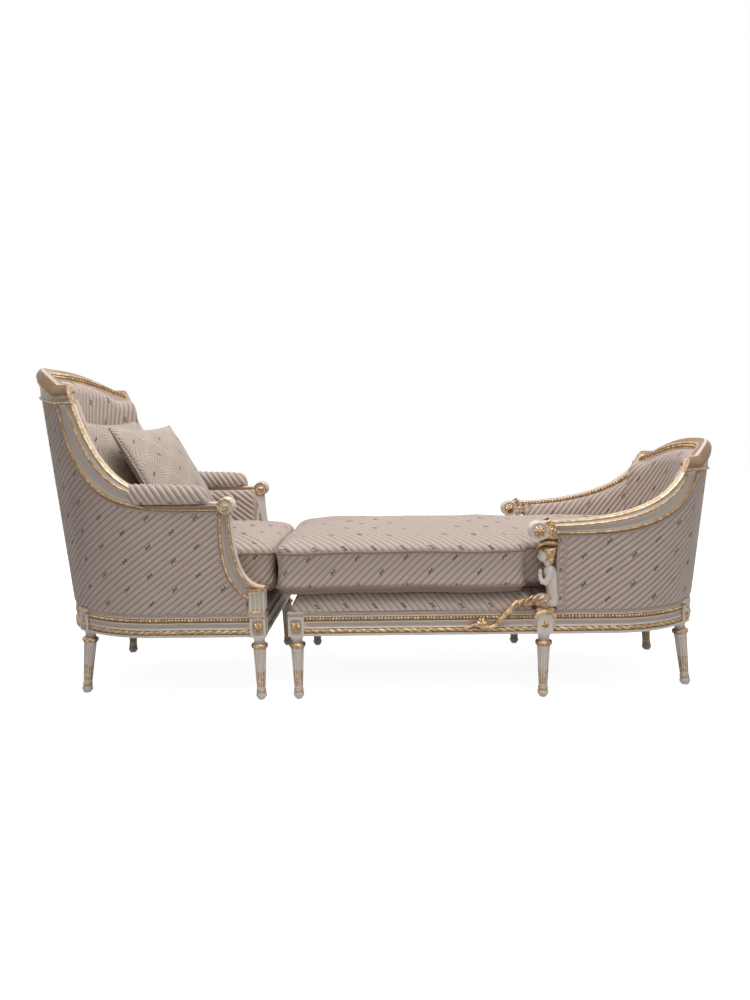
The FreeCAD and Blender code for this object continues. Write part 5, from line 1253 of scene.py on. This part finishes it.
def arm_pads():
    """Stuffed pads along the armchair's arm rails: a half round whose rise and width follow the length."""
    share = np.linspace(0, 1, 64)[:, None]
    tall = 54 * np.interp(share, [0, 0.02, 0.06, 0.14, 0.3, 0.6, 0.85, 1],
                          [0.25, 0.55, 0.8, 0.95, 1, 1.04, 1.1, 1.1])
    wide = np.interp(share, [0, 0.02, 0.06, 0.14, 0.3, 0.85, 1], [0.4, 0.7, 0.88, 0.97, 1, 1, 0.9]) * 23.5
    turn = np.linspace(0, math.pi, 25)[None, :]
    u = 164 + 252 * share
    width = chair.radii(643.0)[1] * np.sqrt(1 - (np.maximum(u - chair.straight, 0) / chair.end_depth) ** 2)
    middle = width + ARM_PROUD - ARM_THICK / 2
    for side_name, side in SIDES:
        node = "armchair_arm_pad_" + side_name
        piece = Piece(node, [RIBBED])
        reach = wide * (1 + 0.14 * np.sin(turn))
        points = chair.at(u, side * middle - reach * np.cos(turn), 642 + tall * np.sin(turn) ** 0.8)
        around = np.cumsum(np.linalg.norm(np.diff(points, axis=1, prepend=points[:, :1]), axis=-1), 1)
        cloth = np.stack(np.broadcast_arrays(-around, -u), -1)
        normals = grid_normals(points)
        normals *= np.sign(np.sum(normals * (points - chair.at(u, side * middle, 640)), -1, keepdims=True))
        fade = smooth(np.sin(turn) / 0.2) * smooth(share / 0.04)
        piece.grid(points + normals * (ribs(cloth) * fade)[..., None], cloth)
        piece.grid(np.stack([points[:, 0], points[:, -1]], 1)).lid(points[0]).lid(points[-1])
        piece.make("armchair", "ribbed_cloth", [node])


# Pillows

# both pillows are turned a little towards the near side
PILLOW_TURN = math.radians(-13)


def pillow(node, body, wide, tall, bulge, lean):
    """Square pillow: thickness is a power of (1 - a squared)(1 - b squared), its edges are drawn in."""
    even = np.sin(np.linspace(-math.pi / 2, math.pi / 2, 90))
    a, b = np.meshgrid(even, even)
    x = wide / 2 * a * (1 - 0.09 * (1 - b ** 2))
    z = tall / 2 * b * (1 - np.where(b > 0, 0.09, 0.03) * (1 - a ** 2))
    full = ((1 - a ** 2) * (1 - b ** 2)) ** 0.4
    creases = 1.6 * np.sin(9 * np.arctan2(np.abs(b), np.abs(a)) + 3 * a) * (a ** 2 + b ** 2) * full
    piece = Piece(node, [PILLOW, CORD])
    spin, tip = Matrix.Rotation(PILLOW_TURN, 3, "Z"), Matrix.Rotation(math.radians(-lean), 3, "Y")
    turned = np.array(spin @ tip)
    centre = middle_of(node)
    sheet = np.stack([x, z], -1)
    for side in (1, -1):
        local = np.stack([side * (bulge * full + creases), x, z], -1)
        piece.grid(local @ turned.T + centre, sheet)
    edge = np.concatenate([sheet[0], sheet[1:, -1], sheet[-1, ::-1][1:], sheet[::-1, 0][1:]])
    path = np.concatenate([np.zeros((len(edge), 1)), edge], 1) @ turned.T + centre
    cord(piece, respaced(path, 5)[0], 4.2, 1)
    piece.make(body, "pillow_cloth", [node])


# Seated figures, their caps and gilded tails

def ball(piece, centre, radii, turn=0.0):
    """Ellipsoid, turned about Y."""
    tilt = np.linspace(-math.pi / 2, math.pi / 2, 13)[:, None]
    spin = np.linspace(0, 2 * math.pi, 25)[None, :]
    local = np.stack([radii[0] * np.cos(tilt) * np.cos(spin), radii[1] * np.cos(tilt) * np.sin(spin),
                      radii[2] * np.sin(tilt) + 0 * spin], -1)
    matrix = np.array(Matrix.Rotation(turn, 3, "Y"))
    piece.grid(local @ matrix.T + centre)


def limb(piece, stops):
    """Limb through stops of place and radius; within a radius of its ends it rounds off as a ball does."""
    stops = np.array(stops, float)
    path, reach = respaced(stops[:, :3], 3, stops[:, 3:])
    far = lengths(path)[:, None]
    from_end = np.minimum(np.minimum(far, far[-1] - far) / reach, 1)
    ahead = unit(np.gradient(path, axis=0))
    side = unit(np.cross(ahead, [0.1, 1, 0.05]))
    turn = np.linspace(0, 2 * math.pi, 17)
    piece.grid(rings_round(path, side, np.cross(side, ahead), reach * np.sqrt(1 - (1 - from_end) ** 2), turn))


def blended(made, voxel):
    """Fuse overlapping limbs into one skin and smooth it."""
    remesh = made.modifiers.new("skin", "REMESH")
    remesh.mode = "VOXEL"
    remesh.voxel_size = voxel * MM
    soft = made.modifiers.new("soft", "SMOOTH")
    soft.factor = 0.6
    soft.iterations = 5
    ready = made.evaluated_get(bpy.context.evaluated_depsgraph_get())
    mesh = bpy.data.meshes.new_from_object(ready)
    made.modifiers.clear()
    old = made.data
    made.data = mesh
    bpy.data.meshes.remove(old)
    made.data.shade_smooth()


def figures():
    """Kneeling figure with a calm, plain face and gilded hair, that carries the arm's scroll on a cap."""
    for side_name, side in SIDES:
        node = "foot_seat_figure_" + side_name

        def spot(across, height, out=0.0):
            """Point measured from the figure's own upright line."""
            return foot.at(MIDDLE_LEG + 8 + across, side * (foot.half_width - FIGURE_INSET + out), height)

        piece = Piece(node, [IVORY])
        ball(piece, spot(-11, 466), (18.5, 17, 21), 0.12)
        ball(piece, spot(-15, 454), (14, 13, 14), 0.3)
        ball(piece, spot(-29, 458), (3.5, 3, 4.5))
        limb(piece, [(*spot(-4, 450), 11), (*spot(4, 424), 12)])
        limb(piece, [(*spot(6, 425), 18), (*spot(12, 400), 22), (*spot(16, 372), 21), (*spot(18, 345), 20.5),
                     (*spot(20, 320), 23), (*spot(20, 308), 23)])
        ball(piece, spot(8, 408), (20, 22, 22), 0.15)
        ball(piece, spot(17, 314), (24, 22, 22))
        limb(piece, [(*spot(8, 320), 20), (*spot(-16, 322), 18), (*spot(-38, 316), 14),
                     (*spot(-48, 308), 10)])
        limb(piece, [(*spot(-38, 312), 11), (*spot(-10, 300), 11), (*spot(20, 298), 10)])
        limb(piece, [(*spot(10, 420, 13), 11), (*spot(2, 392, 19), 9.5), (*spot(-14, 368, 16), 8.5)])
        limb(piece, [(*spot(-14, 370, 16), 8), (*spot(-22, 388, 9), 7.5), (*spot(-23, 404, 3), 6.5)])
        ball(piece, spot(-22, 408, 2), (7, 8, 10))
        made = piece.make("foot_seat", "painted_wood", [node])
        blended(made, 2.0)
        made.data.materials.clear()
        made.data.materials.append(IVORY)

        hair = Piece("foot_seat_hair_" + side_name, [GOLD])
        for number in range(6):
            ring = np.linspace(0, 2 * math.pi, 32)
            reach = 23 - 3.2 * number
            loop = np.stack([reach * np.cos(ring), (reach - 2) * np.sin(ring), 4 * np.cos(ring)], -1)
            cord(hair, spot(6 + number, 481 - 8.5 * number) + loop, 5.8, 0)
        limb(hair, [(*spot(10, 446), 9), (*spot(12, 434), 6), (*spot(13, 424), 3)])
        ball(hair, spot(-2, 482), (20, 19, 10))
        hair.make("foot_seat", "gilding")


def caps():
    """Gilded cap between each figure's head and the scroll, and the arched cap on each middle block."""
    piece = Piece("foot_seat_gilded_caps", [IVORY, GOLD])
    for _, side in SIDES:
        middle = foot.at(MIDDLE_LEG + 10, side * (foot.half_width - FIGURE_INSET), 0)
        # an arched slab: its section swells and both its faces sag towards its ends
        along = np.linspace(-1, 1, 25)[:, None]
        turn = np.linspace(0, 2 * math.pi, 25)[None, :]
        thick = 9 * (1 - 0.2 * along ** 2)
        deep = 28 * (1 - 0.1 * along ** 2)
        arch = 17 * np.sqrt(np.clip(1 - along ** 2, 0, 1))
        out = deep * np.sign(np.cos(turn)) * np.abs(np.cos(turn)) ** 0.6
        rings = middle + np.stack(np.broadcast_arrays(35 * along, out, 487 + arch + thick * np.sin(turn)), -1)
        piece.grid(rings, slot=1).lid(rings[0, :-1], 1).lid(rings[-1, :-1], 1)
        face = foot.at(MIDDLE_LEG, side * (foot.half_width + BLOCK_PROUD), 0)
        bend = np.linspace(0, math.pi, 33)
        route = face + np.stack([30 * np.cos(bend), 0 * bend, 262 + 21 * np.sin(bend) ** 0.6], -1)
        strip = half_round(route, np.tile([0.0, side, 0.0], (33, 1)), 7.5, 6, -0.5)
        piece.grid(strip, slot=1).lid(strip[0], 1).lid(strip[-1], 1)
        centre = face - np.array([0, side * BLOCK / 2, 0])
        stacked_squares(piece, centre, [(RAIL_TOP, 26), (291, 28), (294, 28), (295, 25)])
    piece.make("foot_seat", "gilding", ["foot_seat_gilded_caps"])


def tails():
    """Gilded tail from each figure's lap, along the deck's edge and down over the rail, covered in scales."""
    piece = Piece("foot_seat_tails", [IVORY, GOLD])
    # shift in u from the middle leg, height, radius, and how far out from the cloth's face
    route = [(-30, 318, 15, -8), (-49, 313, 13.5, -4), (-70, 314, 12.5, 0), (-89, 311, 11.5, 2),
             (-104, 298, 11, 3), (-113, 288, 10.5, 4), (-124, 278, 9.5, 5), (-134, 266, 9, 5),
             (-145, 252, 8.4, 5), (-156, 241, 7.8, 5), (-170, 234, 7.2, 5), (-187, 233, 6.6, 5),
             (-202, 238, 6, 5), (-215, 244, 5.6, 5), (-230, 240, 5, 5), (-243, 234, 4, 5),
             (-256, 231, 2.4, 5)]
    for _, side in SIDES:
        u, z, radii, out = np.array(route, float).T
        places = foot.at(MIDDLE_LEG + u, side * (foot.half_width + out), z)
        path, reach = respaced(places, 1.6, radii[:, None])
        ahead = unit(np.gradient(path, axis=0))
        across = unit(np.cross(ahead, [0, side, 0]))
        turn = np.linspace(0, 2 * math.pi, 41)
        row = lengths(path)[:, None] / 7
        scale = np.abs(np.sin(4 * turn[None, :] + math.pi / 2 * np.floor(row)))
        swell = 1 + 0.16 * ((row % 1) - 0.4) * (0.5 + 0.5 * scale)
        points = rings_round(path, across, np.cross(across, ahead), reach * swell, turn)
        piece.grid(points, slot=1).lid(points[0, :-1], 1).lid(points[-1, :-1], 1)
        normal = np.array([0.0, side, 0.0])
        spot = foot.at(MIDDLE_LEG - 200, side * (foot.half_width + 9), 250)
        rosette(piece, spot, normal, FLOWER_RADIUS, 9, petals=6)
        for u, z, wide in ((2, 318, 10), (-16, 324, 13), (-34, 326, 14), (-56, 322, 13), (-80, 314, 11)):
            spine = [foot.at(MIDDLE_LEG + u + step, side * (foot.half_width + 7 + bow), z + rise)
                     for step, rise, bow in ((18, 10, 0), (5, 4, 6), (-12, -6, 7), (-28, -18, 3))]
            leaf(piece, spine, (0.5, 0, 0.86), normal, wide)
    piece.make("foot_seat", "gilding", ["foot_seat_tails"])


# Camera, lights and floor

def stage():
    """The photograph's camera, fitted to legs, rails and crests; soft light from above; a pale floor."""
    scene = bpy.context.scene
    pitch, yaw, roll = 0.1403, -0.0278, 0.0178
    forward = np.array([math.sin(yaw) * math.cos(pitch), math.cos(yaw) * math.cos(pitch), -math.sin(pitch)])
    right = np.array([math.cos(yaw), -math.sin(yaw), 0])
    up = np.cross(right, forward)
    tilted_right = math.cos(roll) * right - math.sin(roll) * up
    tilted_up = math.sin(roll) * right + math.cos(roll) * up
    data = bpy.data.cameras.new("camera")
    data.sensor_width = 36
    data.lens = 28.15
    data.shift_y = 0.033
    camera = bpy.data.objects.new("camera", data)
    turn = Matrix(np.stack([tilted_right, tilted_up, -forward], 1).tolist()).to_4x4()
    camera.matrix_world = Matrix.Translation((0.0753, -2.7435, 0.8817)) @ turn
    scene.collection.objects.link(camera)
    scene.camera = camera

    def softbox(name, place, width, power):
        """Round lamp that looks at the middle of the seats."""
        lamp = bpy.data.lights.new(name, "AREA")
        lamp.shape = "DISK"
        lamp.size = width
        lamp.energy = power
        made = bpy.data.objects.new(name, lamp)
        made.location = place
        made.rotation_euler = (Vector((0, 0, 0.4)) - Vector(place)).to_track_quat("-Z", "Y").to_euler()
        scene.collection.objects.link(made)

    softbox("overhead_softbox", (0.3, -0.6, 3.4), 2.6, 106)
    softbox("front_softbox", (0.9, -3.6, 2.4), 2.2, 9)
    softbox("back_softbox", (-0.8, 3.2, 2.6), 2.2, 12)

    world = bpy.data.worlds.new("studio")
    scene.world = world
    world.use_nodes = True
    tree = world.node_tree
    rays = [add(tree, "LightPath", {}, kind) for kind in ("Is Camera Ray", "Is Glossy Ray")]
    strength = add(tree, "Math", {0: most_of(tree, rays), 1: 0.84, 2: 0.16}, operation="MULTIPLY_ADD")
    background = tree.nodes["Background"]
    background.inputs["Color"].default_value = (1, 1, 1, 1)
    tree.links.new(strength, background.inputs["Strength"])

    mesh = bpy.data.meshes.new("studio_floor")
    half = 9.0
    corners = [(-half, -half, 0), (half, -half, 0), (half, half, 0), (-half, half, 0)]
    mesh.from_pydata(corners, [], [(0, 1, 2, 3)])
    floor = bpy.data.objects.new("studio_floor", mesh)
    scene.collection.objects.link(floor)
    finish, tree = new_finish("pale_floor", Roughness=0.9, Base_Color=linear("F2F2F2"),
                              Emission_Color=(1, 1, 1, 1))
    seen = add(tree, "LightPath", {}, "Is Camera Ray")
    glow = add(tree, "Math", {0: seen, 1: 0.83, 2: 0.06}, operation="MULTIPLY_ADD")
    tree.links.new(glow, tree.nodes["Principled BSDF"].inputs["Emission Strength"])
    mesh.materials.append(finish)
    scene.view_settings.view_transform = "Standard"


stage()
for seat in (chair, foot):
    outside_cover(seat)
    inside_upholstery(seat)
    seat_rails(seat)
    arms(seat)
    crest(seat)
    braids(seat)
    deck(seat)
all_legs(chair)
all_legs(foot)
arm_supports()
arm_pads()
seat_cushion("armchair_seat_cushion", "armchair_cushion", chair, front=25, sides=275, shoulder=109, welt=471,
             crown=63, corner=34)
seat_cushion("foot_seat_cushion", "foot_cushion", foot, front=36, sides=322, shoulder=720, welt=477, crown=63,
             corner=40)
pillow("front_pillow", "front_pillow", wide=400, tall=395, bulge=52, lean=30.5)
pillow("rear_pillow", "rear_pillow", wide=350, tall=395, bulge=46, lean=24)
figures()
caps()
tails()

# finishes of the CAD pieces that show as they are, by a word in their names
PLAIN = {"dust_cover": CAMBRIC, "webbing": JUTE, "block_screws": STEEL, "corner_blocks": BEECH,
         "back_posts": BEECH, "cross_rail": BEECH}
for name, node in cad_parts.items():
    found = [finish for word, finish in PLAIN.items() if word in name]
    node.data.materials.clear()
    node.data.materials.append((found + [IVORY])[0])
